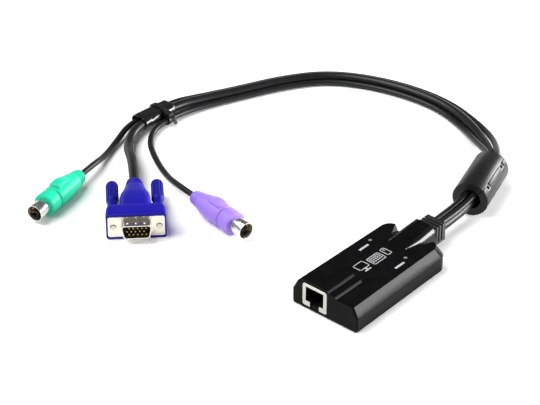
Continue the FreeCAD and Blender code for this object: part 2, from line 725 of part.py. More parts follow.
def half_disc(body, at, radius, upper, gap="ferrite_split / 2"):
    """Half-round sketch across the axis, kept half the split away from the parting plane."""
    reach = "sqrt((%s) ^ 2 - (%s) ^ 2)" % (radius, gap)
    if upper:
        points = [("-" + reach, gap), (reach, gap)]
        return outline(body, "XZ", at, points, {1: (radius, 1)})
    points = [(reach, "-" + gap), ("-" + reach, "-" + gap)]
    return outline(body, "XZ", at, points, {1: (radius, 1)})


def tilt(thing, frame):
    """Stand a ferrite half in its frame with its parting plane tilted about the bore's axis."""
    x, y, z, yaw = [sized(text) for text in frame]
    thing.setExpression("Placement", "create(<<placement>>; create(<<vector>>; %s; %s; %s); "
                        "create(<<rotation>>; create(<<vector>>; 0; 0; 1); %s) * "
                        "create(<<rotation>>; create(<<vector>>; 0; 1; 0); -%s))" % (x, y, z, yaw, sized("ferrite_tilt")))
    thing.Label = thing.Name
    PARTS.append(thing)
    return thing


def build_ferrite_case(name, upper):
    """Half of the hinged case: round wall, end walls and bore; the lid carries the latch tabs."""
    body = new_body(name)
    pad(body, half_disc(body, "0", "ferrite_radius", upper), "ferrite_length")
    inner = "(ferrite_radius - ferrite_wall)"
    pocket(body, disc(body, "XZ", "ferrite_end", "0", "0", inner), "ferrite_length - 2 * ferrite_end")
    pocket(body, disc(body, "XZ", "-1", "0", "0", "ferrite_bore"), "ferrite_length + 2")
    edge = "ferrite_radius"
    for at in ("latch_from_end", "(ferrite_length - latch_from_end - latch_length)"):
        if upper:
            tab = rectangle(body, "XZ", at + " + fit_gap", edge + " - latch_thickness - 0.6", "-latch_reach",
                            edge + " - 0.6", "2.0")
            pad(body, tab, "latch_length - 2 * fit_gap")
            window = rectangle(body, "XZ", at + " + 1.4", edge + " - 3", "-latch_reach + 0.8", edge + " + 1",
                               "-0.6")
            pocket(body, window, "latch_length - 2.8")
        else:
            recess = rectangle(body, "XZ", at, edge + " - latch_thickness - 0.6 - 2 * fit_gap",
                               "-latch_reach - 2 * fit_gap", edge + " + 1", "1")
            pocket(body, recess, "latch_length")
    return tilt(body, FERRITE)


def build_ferrite_core(name, upper):
    """Half of the ferrite tube inside the case."""
    body = new_body(name)
    outer = "(ferrite_radius - ferrite_wall - fit_gap)"
    start = "(ferrite_end + fit_gap)"
    pad(body, half_disc(body, start, outer, upper), "ferrite_length - 2 * " + start)
    pocket(body, disc(body, "XZ", "0", "0", "0", "ferrite_bore"), "ferrite_length")
    for at in ("latch_from_end", "(ferrite_length - latch_from_end - latch_length)"):
        relief = rectangle(body, "XZ", at, "ferrite_radius - latch_thickness - 0.6 - 4 * fit_gap",
                           "-latch_reach - 4 * fit_gap", "ferrite_radius + 1", "2.4")
        pocket(body, relief, "latch_length")
    return tilt(body, FERRITE)


# ---------------------------------------------------------------- branch sleeve and tie

def stadium(body, at, width, height):
    """Flat-sided oval across the sleeve."""
    flat = "(%s - %s) / 2" % (width, height)
    points = [("-" + flat, "-%s / 2" % height), (flat, "-%s / 2" % height), (flat, "%s / 2" % height),
              ("-" + flat, "%s / 2" % height)]
    return outline(body, "XZ", at, points, {1: ("%s * 0.502" % height, 1), 3: ("%s * 0.502" % height, 1)})


def build_sleeve():
    """Oval moulded sleeve that widens to the mouth where the mouse and video cables part."""
    body = new_body("branch_sleeve")
    loft(body, "Additive", stadium(body, "0", "sleeve_mouth_width", "sleeve_mouth_height"),
         stadium(body, "sleeve_length", "sleeve_rear_width", "sleeve_rear_height"))
    loft(body, "Subtractive",
         stadium(body, "-0.01", "(sleeve_mouth_width - 2 * sleeve_wall)", "(sleeve_mouth_height - 2 * sleeve_wall)"),
         stadium(body, "sleeve_length + 0.01", "(sleeve_rear_width - 2 * sleeve_wall)",
                 "(sleeve_rear_height - 2 * sleeve_wall)"))
    return stand(body, SLEEVE)


def belt(circles, grow):
    """Wire pulled tight round circles given counter-clockwise as (x, z, radius), each grown by grow."""
    discs = [(Vector(x, 0, z), radius + grow) for x, z, radius in circles]
    edges = []
    tangents = []
    for (a, ra), (b, rb) in zip(discs, discs[1:] + discs[:1]):
        span = b - a
        along = Vector(span).normalize()
        outward = Vector(along.z, 0, -along.x)
        lean = (ra - rb) / span.Length
        normal = along * lean + outward * math.sqrt(1 - lean ** 2)
        tangents.append((a + normal * ra, b + normal * rb, normal))
    for index, (centre, radius) in enumerate(discs):
        arrive = tangents[index - 1]
        depart = tangents[index]
        begin = math.atan2(arrive[2].z, arrive[2].x)
        half = (math.atan2(depart[2].z, depart[2].x) - begin) % (2 * math.pi) / 2
        crown = centre + Vector(math.cos(begin + half), 0, math.sin(begin + half)) * radius
        edges.append(Part.Arc(arrive[1], crown, depart[0]).toShape())
        edges.append(Part.LineSegment(depart[0], depart[1]).toShape())
    return Part.Wire(edges)


def build_tie():
    """Cable tie pulled round the sleeve and the keyboard cable beside it, with its head and tail."""
    height = value("sleeve_rear_height") / 2
    widen = 1 - value("tie_at / sleeve_length")
    flat = value("sleeve_rear_width") / 2 - height + 0.2 * widen
    swell = value("(sleeve_mouth_height - sleeve_rear_height) / 2") * widen + 0.12
    keys_x = 7.6
    keys_z = -2.05
    oval_left = (-flat, 0.0, height + swell)
    oval_right = (flat, 0.0, height + swell)
    circles = [oval_left, oval_right, (keys_x, keys_z, value("thin_cable_radius") + 0.12), oval_right]
    thickness = value("tie_thickness")
    width = value("tie_width")
    outer = Part.Face(belt(circles, thickness))
    inner = Part.Face(belt(circles, 0.0))
    band = outer.cut(inner).extrude(Vector(0, width, 0))
    head = Part.makeBox(4.4, width + 1.4, 3.2, Vector(6.4, -0.7, 0.35))
    head = head.cut(Part.Face(belt(circles, 0.0)).extrude(Vector(0, 9, 0)).translated(Vector(0, -3, 0)))
    tail_face = Part.Face(Part.makePolygon([Vector(10.5, 0, 1.2), Vector(10.5, 0, 2.1), Vector(12.6, 0, 1.6),
                                            Vector(15.2, 0, -1.6), Vector(14.5, 0, -2.0), Vector(12.1, 0, 0.8),
                                            Vector(10.5, 0, 1.2)]))
    tail = tail_face.extrude(Vector(0, width - 0.3, 0)).translated(Vector(0, 0.15, 0))
    tie = band.fuse([head, tail]).removeSplitter().translated(Vector(0, value("tie_at"), 0))
    return solid_node("cable_tie", tie, SLEEVE)


# ---------------------------------------------------------------- video plug

def build_video_hood():
    """Moulded hood: front wings, waisted body between the thumbscrews, neck round the cable."""
    body = new_body("video_hood")
    rim = "hood_rim_width / 2"
    side = "hood_body_width / 2"
    neck = "hood_neck_width / 2"
    right = [(rim, "0"), (rim + " - 0.3", "wing_length - 3"), (rim + " - 1.6", "wing_length"),
             (side + " + 0.1", "wing_length"), (side, "wing_length + 4"), (side + " - 0.4", "wing_length + 13"),
             (side + " - 2.4", "wing_length + 18"), (neck + " + 1.9", "hood_length - 8"), (neck, "hood_length")]
    left = [("-(%s)" % x, y) for x, y in reversed(right)]
    arcs = {5: ("6", 1)}
    arcs = {5: ("6.5", 1), 11: ("6.5", 1)}
    pad(body, outline(body, "XY", "0", right + left, arcs), "hood_height")
    middle = "hood_height / 2"
    for up in (1, -1):
        sign = "+" if up > 0 else "-"
        points = [("wing_length + 1", "%s %s hood_height / 2" % (middle, sign)),
                  ("wing_length + 13", "%s %s (hood_height / 2 - 0.9)" % (middle, sign)),
                  ("hood_length + 1", "%s %s hood_neck_height / 2" % (middle, sign)),
                  ("hood_length + 1", "%s %s (hood_height / 2 + 2)" % (middle, sign)),
                  ("wing_length + 1", "%s %s (hood_height / 2 + 2)" % (middle, sign))]
        cut = pocket(body, outline(body, "YZ", "0", points if up > 0 else points[::-1]), "80")
        cut.Midplane = True
    recess = rectangle(body, "XZ", "0", "-flange_width / 2 - fit_gap", middle + " - flange_height / 2 - fit_gap",
                       "flange_width / 2 + fit_gap", middle + " + flange_height / 2 + fit_gap")
    pocket(body, recess, "flange_thickness")
    heart = rectangle(body, "XZ", "0", "-shell_width / 2 - 0.2", middle + " - shell_height / 2 - 0.2",
                      "shell_width / 2 + 0.2", middle + " + shell_height / 2 + 0.2")
    pocket(body, heart, "wing_length - 1")
    for side_sign in ("-", ""):
        hole = disc(body, "XZ", "-1", side_sign + "screw_spacing / 2", middle, "jackscrew_radius + running_gap")
        pocket(body, hole, "wing_length + 4")
    return stand(body, VIDEO)


def shell_face(grow, y):
    """D-shaped face, wide side up, with rounded corners, grown or shrunk all round."""
    half_top = value("shell_width") / 2 + grow
    half_bottom = half_top - value("shell_slant")
    middle = value("hood_height / 2")
    low = middle - value("shell_height") / 2 - grow
    high = middle + value("shell_height") / 2 + grow
    corners = [Vector(-half_bottom, y, low), Vector(half_bottom, y, low), Vector(half_top, y, high),
               Vector(-half_top, y, high)]
    block = Part.Face(Part.makePolygon(corners + corners[:1])).extrude(Vector(0, 1, 0))
    upright = [edge for edge in block.Edges if along_y(edge)]
    rounded = block.makeFillet(1.9 + grow, upright)
    return [face for face in rounded.Faces if face.BoundBox.YMax < y + 0.001][0]


def build_video_shell():
    """Pressed front: flat flange with two screw holes, D-shaped collar and its grounding dimples."""
    sheet = value("shell_sheet")
    reach = value("shell_reach")
    middle = value("hood_height / 2")
    thick = value("flange_thickness") - 0.05
    width = value("flange_width")
    height = value("flange_height")
    flange = Part.makeBox(width, thick, height, Vector(-width / 2, 0, middle - height / 2))
    flange = flange.makeFillet(1.2, [edge for edge in flange.Edges if along_y(edge)])
    collar = shell_face(0.0, -reach).extrude(Vector(0, reach + thick, 0))
    hollow = shell_face(-sheet, -reach - 1).extrude(Vector(0, reach + 4, 0))
    shape = flange.fuse(collar).cut(hollow)
    for x in (-4.6, 0.0, 4.6):
        dimple = Part.makeSphere(0.9, Vector(x, -reach * 0.55, middle + value("shell_height") / 2 - 0.45))
        shape = shape.fuse(dimple.cut(hollow))
    for side in (-1, 1):
        spot = Vector(side * value("screw_spacing") / 2, -1, middle)
        shape = shape.cut(Part.makeCylinder(value("jackscrew_radius") + 0.3, 4, spot, Vector(0, 1, 0)))
    return solid_node("video_shell", shape.removeSplitter(), VIDEO)


def video_pin_spots():
    """Three staggered rows of five, top row first."""
    middle = value("hood_height / 2")
    pitch = value("video_pin_pitch")
    row = value("video_row_pitch")
    for line, shift in ((1, 0.25), (0, -0.25), (-1, 0.25)):
        for column in range(-2, 3):
            yield (column + shift) * pitch, middle + line * row


def build_video_insert():
    """Insulator in the collar, bored for the fifteen pins."""
    block = shell_face(-value("shell_sheet") - 0.05, -0.6).extrude(Vector(0, 6.0, 0))
    for x, z in video_pin_spots():
        block = block.cut(Part.makeCylinder(value("video_pin_radius") + 0.02, 8, Vector(x, -1, z), Vector(0, 1, 0)))
    return solid_node("video_insert", block, VIDEO)


def build_video_pins():
    """The fifteen pins, a little shorter than the collar, with their solder tails behind."""
    pins = []
    radius = value("video_pin_radius")
    for x, z in video_pin_spots():
        pins.append(Part.makeCylinder(radius, 12.4, Vector(x, 0.9 - value("shell_reach"), z), Vector(0, 1, 0)))
    return solid_node("video_pins", Part.makeCompound(pins), VIDEO)


def build_thumb_grip(name, sign):
    """Grip as cylinders and cones about its axis, with twelve flutes cut along its head."""
    x = value("%s screw_spacing / 2" % sign)
    middle = value("hood_height / 2")
    start = value("wing_length + 0.3")
    length = value("thumb_length")
    radius = value("thumb_radius")
    shank = value("thumb_shank_radius")
    points = [(0, 0), (shank, 0), (shank, 0.46 * length), (radius, 0.53 * length), (radius, length - 1.0),
              (radius - 0.8, length), (0, length)]
    profile = Part.Face(Part.makePolygon([Vector(r, y, 0) for r, y in points + points[:1]]))
    grip = profile.revolve(Vector(), Vector(0, 1, 0), 360)
    for index in range(12):
        angle = math.radians(30 * index)
        spot = Vector(radius * math.cos(angle), 0.55 * length, radius * math.sin(angle))
        grip = grip.cut(Part.makeCylinder(value("thumb_flute_radius"), length, spot, Vector(0, 1, 0)))
    grip = grip.cut(Part.makeCylinder(value("jackscrew_radius"), 6.0, Vector(), Vector(0, 1, 0)))
    return solid_node(name, grip.translated(Vector(x, start, middle)), VIDEO)


def build_jackscrew(name, sign):
    """Steel screw from inside the grip through the wing to just behind the flange's face."""
    screw = rod(name + "_rod", "%s screw_spacing / 2" % sign, "0.3 - shell_reach + 5.0", "hood_height / 2",
                "jackscrew_radius", "wing_length + 0.3 + 6.0 + 0.6")
    return group(name, [screw], VIDEO)


# ---------------------------------------------------------------- round plugs

def build_boot(name, frame):
    """Soft moulding: collar, grip rings, thumb pad on top, and a taper down to the cable."""
    radius = value("boot_radius")
    length = value("boot_length")
    tail = value("boot_tail_radius")
    groove = value("boot_groove")
    points = [(0, 0), (radius - 0.7, 0), (radius, 0.7), (radius, 7.6), (radius - groove, 8.0),
              (radius - groove, 8.9), (radius, 9.3), (radius, 0.6 * length), (radius - 0.8, 0.75 * length),
              (tail + 0.9, length - 5.2), (tail + 0.1, length - 5.0), (tail + 0.1, length - 4.2),
              (tail + 0.6, length - 4.0), (tail, length), (0, length)]
    profile = Part.Face(Part.makePolygon([Vector(r, y, 0) for r, y in points + points[:1]]))
    moulding = profile.revolve(Vector(), Vector(0, 1, 0), 360)
    pad_width = value("pad_width")
    pad_top = radius + value("pad_height")
    bump = Part.makePolygon([Vector(-pad_width / 2, 10.4, 0), Vector(-pad_width / 2, 11.2, pad_top - 0.4),
                             Vector(-pad_width / 2, 12.2, pad_top), Vector(-pad_width / 2, 17.5, pad_top - 0.2),
                             Vector(-pad_width / 2, 23.5, radius - 0.6), Vector(-pad_width / 2, 23.5, 0),
                             Vector(-pad_width / 2, 10.4, 0)])
    thumb = Part.Face(bump).extrude(Vector(pad_width, 0, 0))
    moulding = moulding.fuse(thumb).removeSplitter()
    bore = Part.makeCylinder(value("barrel_radius - barrel_sheet / 2"), 4.2, Vector(), Vector(0, 1, 0))
    return solid_node(name, moulding.cut(bore).translated(Vector(0, 0, radius)), frame)


def build_barrel(name, frame):
    """Metal barrel of the round plug, open in front, with the three keying grooves."""
    outer = value("barrel_radius")
    sheet = value("barrel_sheet")
    reach = value("barrel_reach")
    barrel = Part.makeCylinder(outer, reach, Vector(0, -reach, 0), Vector(0, 1, 0))
    barrel = barrel.fuse(Part.makeCylinder(outer - sheet / 2, 4.0, Vector(), Vector(0, 1, 0)))
    barrel = barrel.cut(Part.makeCylinder(outer - sheet, reach + 5.0, Vector(0, -reach - 0.5, 0), Vector(0, 1, 0)))
    return solid_node(name, barrel.translated(Vector(0, 0, value("boot_radius"))), frame)


def round_pin_spots():
    """Six contacts on a circle, open at the bottom where the key stands."""
    circle = 3.0
    for degrees in (20, 62, 118, 160, 205, 335):
        angle = math.radians(degrees)
        yield circle * math.cos(angle), circle * math.sin(angle)


def build_round_insert(name, frame):
    """Insulator disc with the square plastic key that stands out between the pins."""
    radius = value("barrel_radius - barrel_sheet") - 0.05
    insert = Part.makeCylinder(radius, 6.3, Vector(0, -2.3, 0), Vector(0, 1, 0))
    insert = insert.fuse(Part.makeBox(2.0, 4.4, 1.6, Vector(-1.0, -6.7, -1.2)))
    for x, z in round_pin_spots():
        insert = insert.cut(Part.makeCylinder(value("round_pin_radius") + 0.02, 8, Vector(x, -3, z), Vector(0, 1, 0)))
    return solid_node(name, insert.removeSplitter().translated(Vector(0, 0, value("boot_radius"))), frame)


def build_round_pins(name, frame):
    """Six round contacts."""
    pins = [Part.makeCylinder(value("round_pin_radius"), 10.4, Vector(x, -6.4, z), Vector(0, 1, 0))
            for x, z in round_pin_spots()]
    return solid_node(name, Part.makeCompound(pins).translated(Vector(0, 0, value("boot_radius"))), frame)


def build_all():
    fill_sheet()
    build_upper_shell()
    build_lower_shell()
    build_circuit_board()
    build_jack_shield()
    build_jack_insert()
    build_jack_contacts()
    build_board_parts()
    build_lights()
    build_case_screws()
    build_strain_relief()
    build_cable("video_cable", VIDEO_ROUTE, "video_cable_radius")
    build_cable("mouse_cable", MOUSE_ROUTE, "thin_cable_radius")
    build_cable("keyboard_cable", KEYS_ROUTE, "thin_cable_radius")
    build_ferrite_case("ferrite_base", False)
    build_ferrite_case("ferrite_lid", True)
    build_ferrite_core("ferrite_core_base", False)
    build_ferrite_core("ferrite_core_lid", True)
    build_sleeve()
    build_tie()
    build_video_hood()
    build_video_shell()
    build_video_insert()
    build_video_pins()
    for side, sign in (("left", "-"), ("right", "")):
        build_thumb_grip(side + "_thumb_grip", sign)
        build_jackscrew(side + "_jackscrew", sign)
    for plug, frame in (("mouse", MOUSE), ("keyboard", KEYS)):
        build_boot(plug + "_boot", frame)
        build_barrel(plug + "_barrel", frame)
        build_round_insert(plug + "_insert", frame)
        build_round_pins(plug + "_pins", frame)


def check_and_export():
    """Stop on any failed feature or bad shape, then write one STEP file a sub-part."""
    DOC.recompute()
    for thing in DOC.Objects:
        if "Invalid" in thing.State or "Error" in thing.State:
            raise RuntimeError("failed: %s %s" % (thing.Name, thing.State))
    os.makedirs("parts", exist_ok=True)
    for thing in PARTS:
        shape = thing.Shape
        if shape.isNull() or not shape.isValid() or not shape.Solids:
            raise RuntimeError("bad shape: " + thing.Label)
        shape.exportStep("parts/%s.step" % thing.Label)
        print("%-20s solids %2d volume %9.1f" % (thing.Label, len(shape.Solids), shape.Volume))


build_all()
check_and_export()
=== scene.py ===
import logging
import math
from dataclasses import dataclass, field
from enum import Enum
from typing import Callable, Sequence

import bmesh
import bpy
from mathutils import Matrix, Vector, noise


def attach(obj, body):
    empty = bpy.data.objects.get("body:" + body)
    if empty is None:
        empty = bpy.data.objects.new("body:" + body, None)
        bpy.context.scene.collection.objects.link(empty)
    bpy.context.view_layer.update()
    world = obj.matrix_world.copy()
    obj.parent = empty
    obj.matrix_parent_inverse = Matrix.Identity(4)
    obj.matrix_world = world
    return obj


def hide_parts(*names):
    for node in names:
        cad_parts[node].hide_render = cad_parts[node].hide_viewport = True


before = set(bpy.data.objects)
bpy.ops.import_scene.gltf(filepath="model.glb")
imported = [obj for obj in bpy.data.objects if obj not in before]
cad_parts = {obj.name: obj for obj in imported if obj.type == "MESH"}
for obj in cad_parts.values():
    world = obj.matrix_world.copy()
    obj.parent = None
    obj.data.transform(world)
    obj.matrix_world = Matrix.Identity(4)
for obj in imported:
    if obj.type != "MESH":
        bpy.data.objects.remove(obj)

LOG = logging.getLogger("adapter")
MM = 0.001
WANDER_MM = 7.0
WELD_M = 2e-6
BOUNCE_WHITE = 0.80
SEEN_WHITE = 1.16
Point = tuple[float, float, float]
Bar = tuple[float, float, float, float]
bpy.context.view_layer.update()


class Surface(Enum):
    """How a finish breaks up light at close range."""

    MOULDED = "moulded"
    SMOOTH = "smooth"
    JACKET = "jacket"
    PLATED = "plated"
    CAST = "cast"
    CLEAR = "clear"


class Body(Enum):
    """The rigid bodies that the pieces made here ride on."""

    ADAPTER = "adapter"
    LEFT_SCREW = "left_thumbscrew"
    RIGHT_SCREW = "right_thumbscrew"


@dataclass(frozen=True)
class Finish:
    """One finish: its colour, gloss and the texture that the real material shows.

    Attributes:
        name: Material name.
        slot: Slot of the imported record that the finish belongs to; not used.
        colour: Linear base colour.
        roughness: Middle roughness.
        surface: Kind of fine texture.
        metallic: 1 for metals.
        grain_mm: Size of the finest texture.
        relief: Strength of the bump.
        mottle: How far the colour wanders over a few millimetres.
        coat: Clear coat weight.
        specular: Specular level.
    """

    name: str
    slot: str
    colour: Point
    roughness: float
    surface: Surface = Surface.MOULDED
    metallic: float = 0.0
    grain_mm: float = 0.25
    relief: float = 0.15
    mottle: float = 0.15
    coat: float = 0.0
    specular: float = 0.5

    def material(self) -> bpy.types.Material:
        """Build the material once and return it.

        Returns:
            The node material of this finish.
        """
        made = bpy.data.materials.get(self.name + "_finish")
        if made is not None:
            return made
        made = bpy.data.materials.new(self.name + "_finish")
        made.use_nodes = True
        tree = made.node_tree
        shader = tree.nodes["Principled BSDF"]
        shader.inputs["Metallic"].default_value = self.metallic
        shader.inputs["Coat Weight"].default_value = self.coat
        shader.inputs["Coat Roughness"].default_value = 0.12
        shader.inputs["Specular IOR Level"].default_value = self.specular
        if self.surface is Surface.CLEAR:
            shader.inputs["Transmission Weight"].default_value = 0.35
        place = tree.nodes.new("ShaderNodeTexCoord")
        stretch = tree.nodes.new("ShaderNodeMapping")
        if self.surface is Surface.PLATED:
            stretch.inputs["Scale"].default_value = (1.0, 0.25, 1.0)
        tree.links.new(place.outputs["Object"], stretch.inputs["Vector"])
        fine = self._noise(tree, stretch, 1.0 / (self.grain_mm * MM), 3.0)
        broad = self._noise(tree, stretch, 1.0 / (WANDER_MM * MM), 4.0)
        self._colour(tree, shader, broad, fine)
        self._gloss(tree, shader, broad, fine)
        self._bump(tree, shader, fine, broad)
        return made

    @staticmethod
    def _noise(tree: bpy.types.NodeTree, source: bpy.types.Node, scale: float,
               detail: float) -> bpy.types.Node:
        """Add one noise texture fed by the object's own coordinates.

        Args:
            tree: Node tree that gets it.
            source: Mapping node that feeds it.
            scale: Cells per metre.
            detail: Octaves.

        Returns:
            The noise node.
        """
        node = tree.nodes.new("ShaderNodeTexNoise")
        node.inputs["Scale"].default_value = scale
        node.inputs["Detail"].default_value = detail
        tree.links.new(source.outputs["Vector"], node.inputs["Vector"])
        return node

    def _colour(self, tree: bpy.types.NodeTree, shader: bpy.types.Node, broad: bpy.types.Node,
                fine: bpy.types.Node) -> None:
        """Let the base colour wander between a darker and a lighter shade."""
        ramp = tree.nodes.new("ShaderNodeValToRGB")
        low = [channel * (1.0 - self.mottle) for channel in self.colour]
        high = [min(channel * (1.0 + self.mottle) + 0.002, 1.0) for channel in self.colour]
        ramp.color_ramp.elements[0].position = 0.35
        ramp.color_ramp.elements[0].color = (*low, 1.0)
        ramp.color_ramp.elements[1].position = 0.65
        ramp.color_ramp.elements[1].color = (*high, 1.0)
        both = tree.nodes.new("ShaderNodeMath")
        both.operation = "MULTIPLY_ADD"
        both.inputs[1].default_value = 0.3
        tree.links.new(fine.outputs["Fac"], both.inputs[0])
        scaled = tree.nodes.new("ShaderNodeMath")
        scaled.operation = "MULTIPLY"
        scaled.inputs[1].default_value = 0.7
        tree.links.new(broad.outputs["Fac"], scaled.inputs[0])
        tree.links.new(scaled.outputs[0], both.inputs[2])
        tree.links.new(both.outputs[0], ramp.inputs["Fac"])
        tree.links.new(ramp.outputs["Color"], shader.inputs["Base Color"])

    def _gloss(self, tree: bpy.types.NodeTree, shader: bpy.types.Node, broad: bpy.types.Node,
               fine: bpy.types.Node) -> None:
        """Vary the roughness as handling and flow marks do."""
        spread = 0.05 if self.surface in (Surface.SMOOTH, Surface.CLEAR, Surface.PLATED) else 0.09
        span = tree.nodes.new("ShaderNodeMapRange")
        span.inputs["From Min"].default_value = 0.3
        span.inputs["From Max"].default_value = 0.7
        span.inputs["To Min"].default_value = max(self.roughness - spread, 0.03)
        span.inputs["To Max"].default_value = min(self.roughness + spread, 1.0)
        source = broad if self.surface in (Surface.SMOOTH, Surface.CLEAR) else fine
        tree.links.new(source.outputs["Fac"], span.inputs["Value"])
        tree.links.new(span.outputs["Result"], shader.inputs["Roughness"])

    def _bump(self, tree: bpy.types.NodeTree, shader: bpy.types.Node, fine: bpy.types.Node,
              broad: bpy.types.Node) -> None:
        """Raise the fine texture, or the slow waviness of an extruded jacket."""
        bump = tree.nodes.new("ShaderNodeBump")
        bump.inputs["Strength"].default_value = self.relief
        bump.inputs["Distance"].default_value = 0.4 * self.grain_mm * MM
        tree.links.new(fine.outputs["Fac"], bump.inputs["Height"])
        if self.surface in (Surface.JACKET, Surface.SMOOTH):
            slow = tree.nodes.new("ShaderNodeBump")
            slow.inputs["Strength"].default_value = 0.25
            slow.inputs["Distance"].default_value = 0.35 * MM
            tree.links.new(broad.outputs["Fac"], slow.inputs["Height"])
            tree.links.new(slow.outputs["Normal"], bump.inputs["Normal"])
        tree.links.new(bump.outputs["Normal"], shader.inputs["Normal"])


CASE_BLACK = Finish("case_black", "case_black", (0.0030, 0.0030, 0.0034), 0.20, relief=0.03, grain_mm=0.18,
                    specular=0.07)
# Case plastic again with about four times the specular level, used only on the nose flanks: a painted
# highlight, since the real flanks are the same plastic as the case.
CHEEK_PAINTED_HIGHLIGHT = Finish("cheek_painted_highlight", "case_black", (0.0030, 0.0030, 0.0034), 0.17, relief=0.02, grain_mm=0.18,
                     specular=0.30)
BOARD_GREEN = Finish("board_green", "board_green", (0.02, 0.12, 0.05), 0.35, Surface.SMOOTH)
SHIELD = Finish("socket_shield", "shield_steel", (0.63, 0.62, 0.57), 0.36, Surface.PLATED, 1.0, 0.4, 0.10,
                0.05)
INSERT_BLACK = Finish("socket_black", "insert_black", (0.008, 0.008, 0.008), 0.45, specular=0.3)
GOLD = Finish("contact_gold", "contact_gold", (0.86, 0.62, 0.26), 0.22, Surface.PLATED, 1.0, 0.2, 0.05,
              0.08)
CHIP = Finish("chip_black", "chip_black", (0.02, 0.02, 0.02), 0.55, grain_mm=0.12)
CRYSTAL = Finish("crystal_can", "crystal_can", (0.75, 0.75, 0.74), 0.25, Surface.PLATED, 1.0, 0.4, 0.05,
                 0.05)
HEADER = Finish("header_cream", "header_white", (0.72, 0.69, 0.58), 0.4, Surface.SMOOTH)
LEADS = Finish("lead_jacket", "lead_jacket", (0.03, 0.03, 0.03), 0.5, Surface.JACKET)
LIGHT_PIPE = Finish("light_pipe", "light_pipe", (0.30, 0.34, 0.31), 0.18, Surface.CLEAR, mottle=0.05)
SCREW_STEEL = Finish("screw_steel", "screw_steel", (0.55, 0.52, 0.44), 0.32, Surface.PLATED, 1.0, 0.3, 0.1,
                     0.08)
RELIEF = Finish("relief_vinyl", "relief_vinyl", (0.010, 0.010, 0.011), 0.34, relief=0.2, grain_mm=0.3,
                specular=0.75)
JACKET = Finish("cable_jacket", "cable_jacket", (0.0075, 0.0080, 0.0085), 0.34, Surface.JACKET, relief=0.12,
                grain_mm=0.3, specular=0.35)
FERRITE = Finish("ferrite_case", "ferrite_case", (0.0075, 0.0078, 0.0085), 0.34, relief=0.08, grain_mm=0.2,
                 specular=0.30)
CERAMIC = Finish("ferrite_ceramic", "ferrite_ceramic", (0.030, 0.030, 0.033), 0.62, Surface.CAST, relief=0.4,
                 specular=0.3)
SLEEVE = Finish("sleeve_vinyl", "sleeve_vinyl", (0.006, 0.006, 0.0065), 0.17, Surface.SMOOTH, relief=0.05,
                coat=0.2, specular=0.4)
TIE = Finish("tie_nylon", "tie_nylon", (0.006, 0.006, 0.006), 0.34, relief=0.1, specular=0.4)
VIDEO_BLUE = Finish("video_blue", "video_blue", (0.006, 0.003, 0.32), 0.40, relief=0.16, grain_mm=0.3,
                    mottle=0.08, specular=0.22)
GRIP_BLUE = Finish("grip_blue", "grip_blue", (0.004, 0.002, 0.25), 0.36, relief=0.12, grain_mm=0.3,
                   mottle=0.08, specular=0.22)
NICKEL = Finish("video_nickel", "video_nickel", (0.74, 0.70, 0.60), 0.27, Surface.PLATED, 1.0, 0.5, 0.06,
                0.05)
VIDEO_INSERT = Finish("video_insulator", "video_insulator", (0.006, 0.006, 0.007), 0.45, specular=0.3)
PIN_GOLD = Finish("pin_gold", "pin_gold", (0.42, 0.30, 0.13), 0.30, Surface.PLATED, 1.0, 0.2, 0.05, 0.06)
MOUSE_GREEN = Finish("mouse_green", "mouse_green", (0.008, 0.64, 0.37), 0.42, relief=0.14, grain_mm=0.3,
                     mottle=0.05, specular=0.3)
KEYS_VIOLET = Finish("keyboard_violet", "keyboard_violet", (0.41, 0.25, 0.88), 0.42, relief=0.14,
                     grain_mm=0.3, mottle=0.04, specular=0.3)
BARREL = Finish("barrel_nickel", "barrel_nickel", (0.78, 0.77, 0.74), 0.24, Surface.PLATED, 1.0, 0.4, 0.06,
                0.05)
PLUG_INSERT = Finish("plug_insulator", "plug_insulator", (0.008, 0.008, 0.008), 0.45, specular=0.3)
PRINT = Finish("print_white", "case_black", (0.52, 0.52, 0.55), 0.5, mottle=0.05)
LABEL = Finish("blank_label", "case_black", (0.55, 0.56, 0.57), 0.42, Surface.SMOOTH, mottle=0.04)


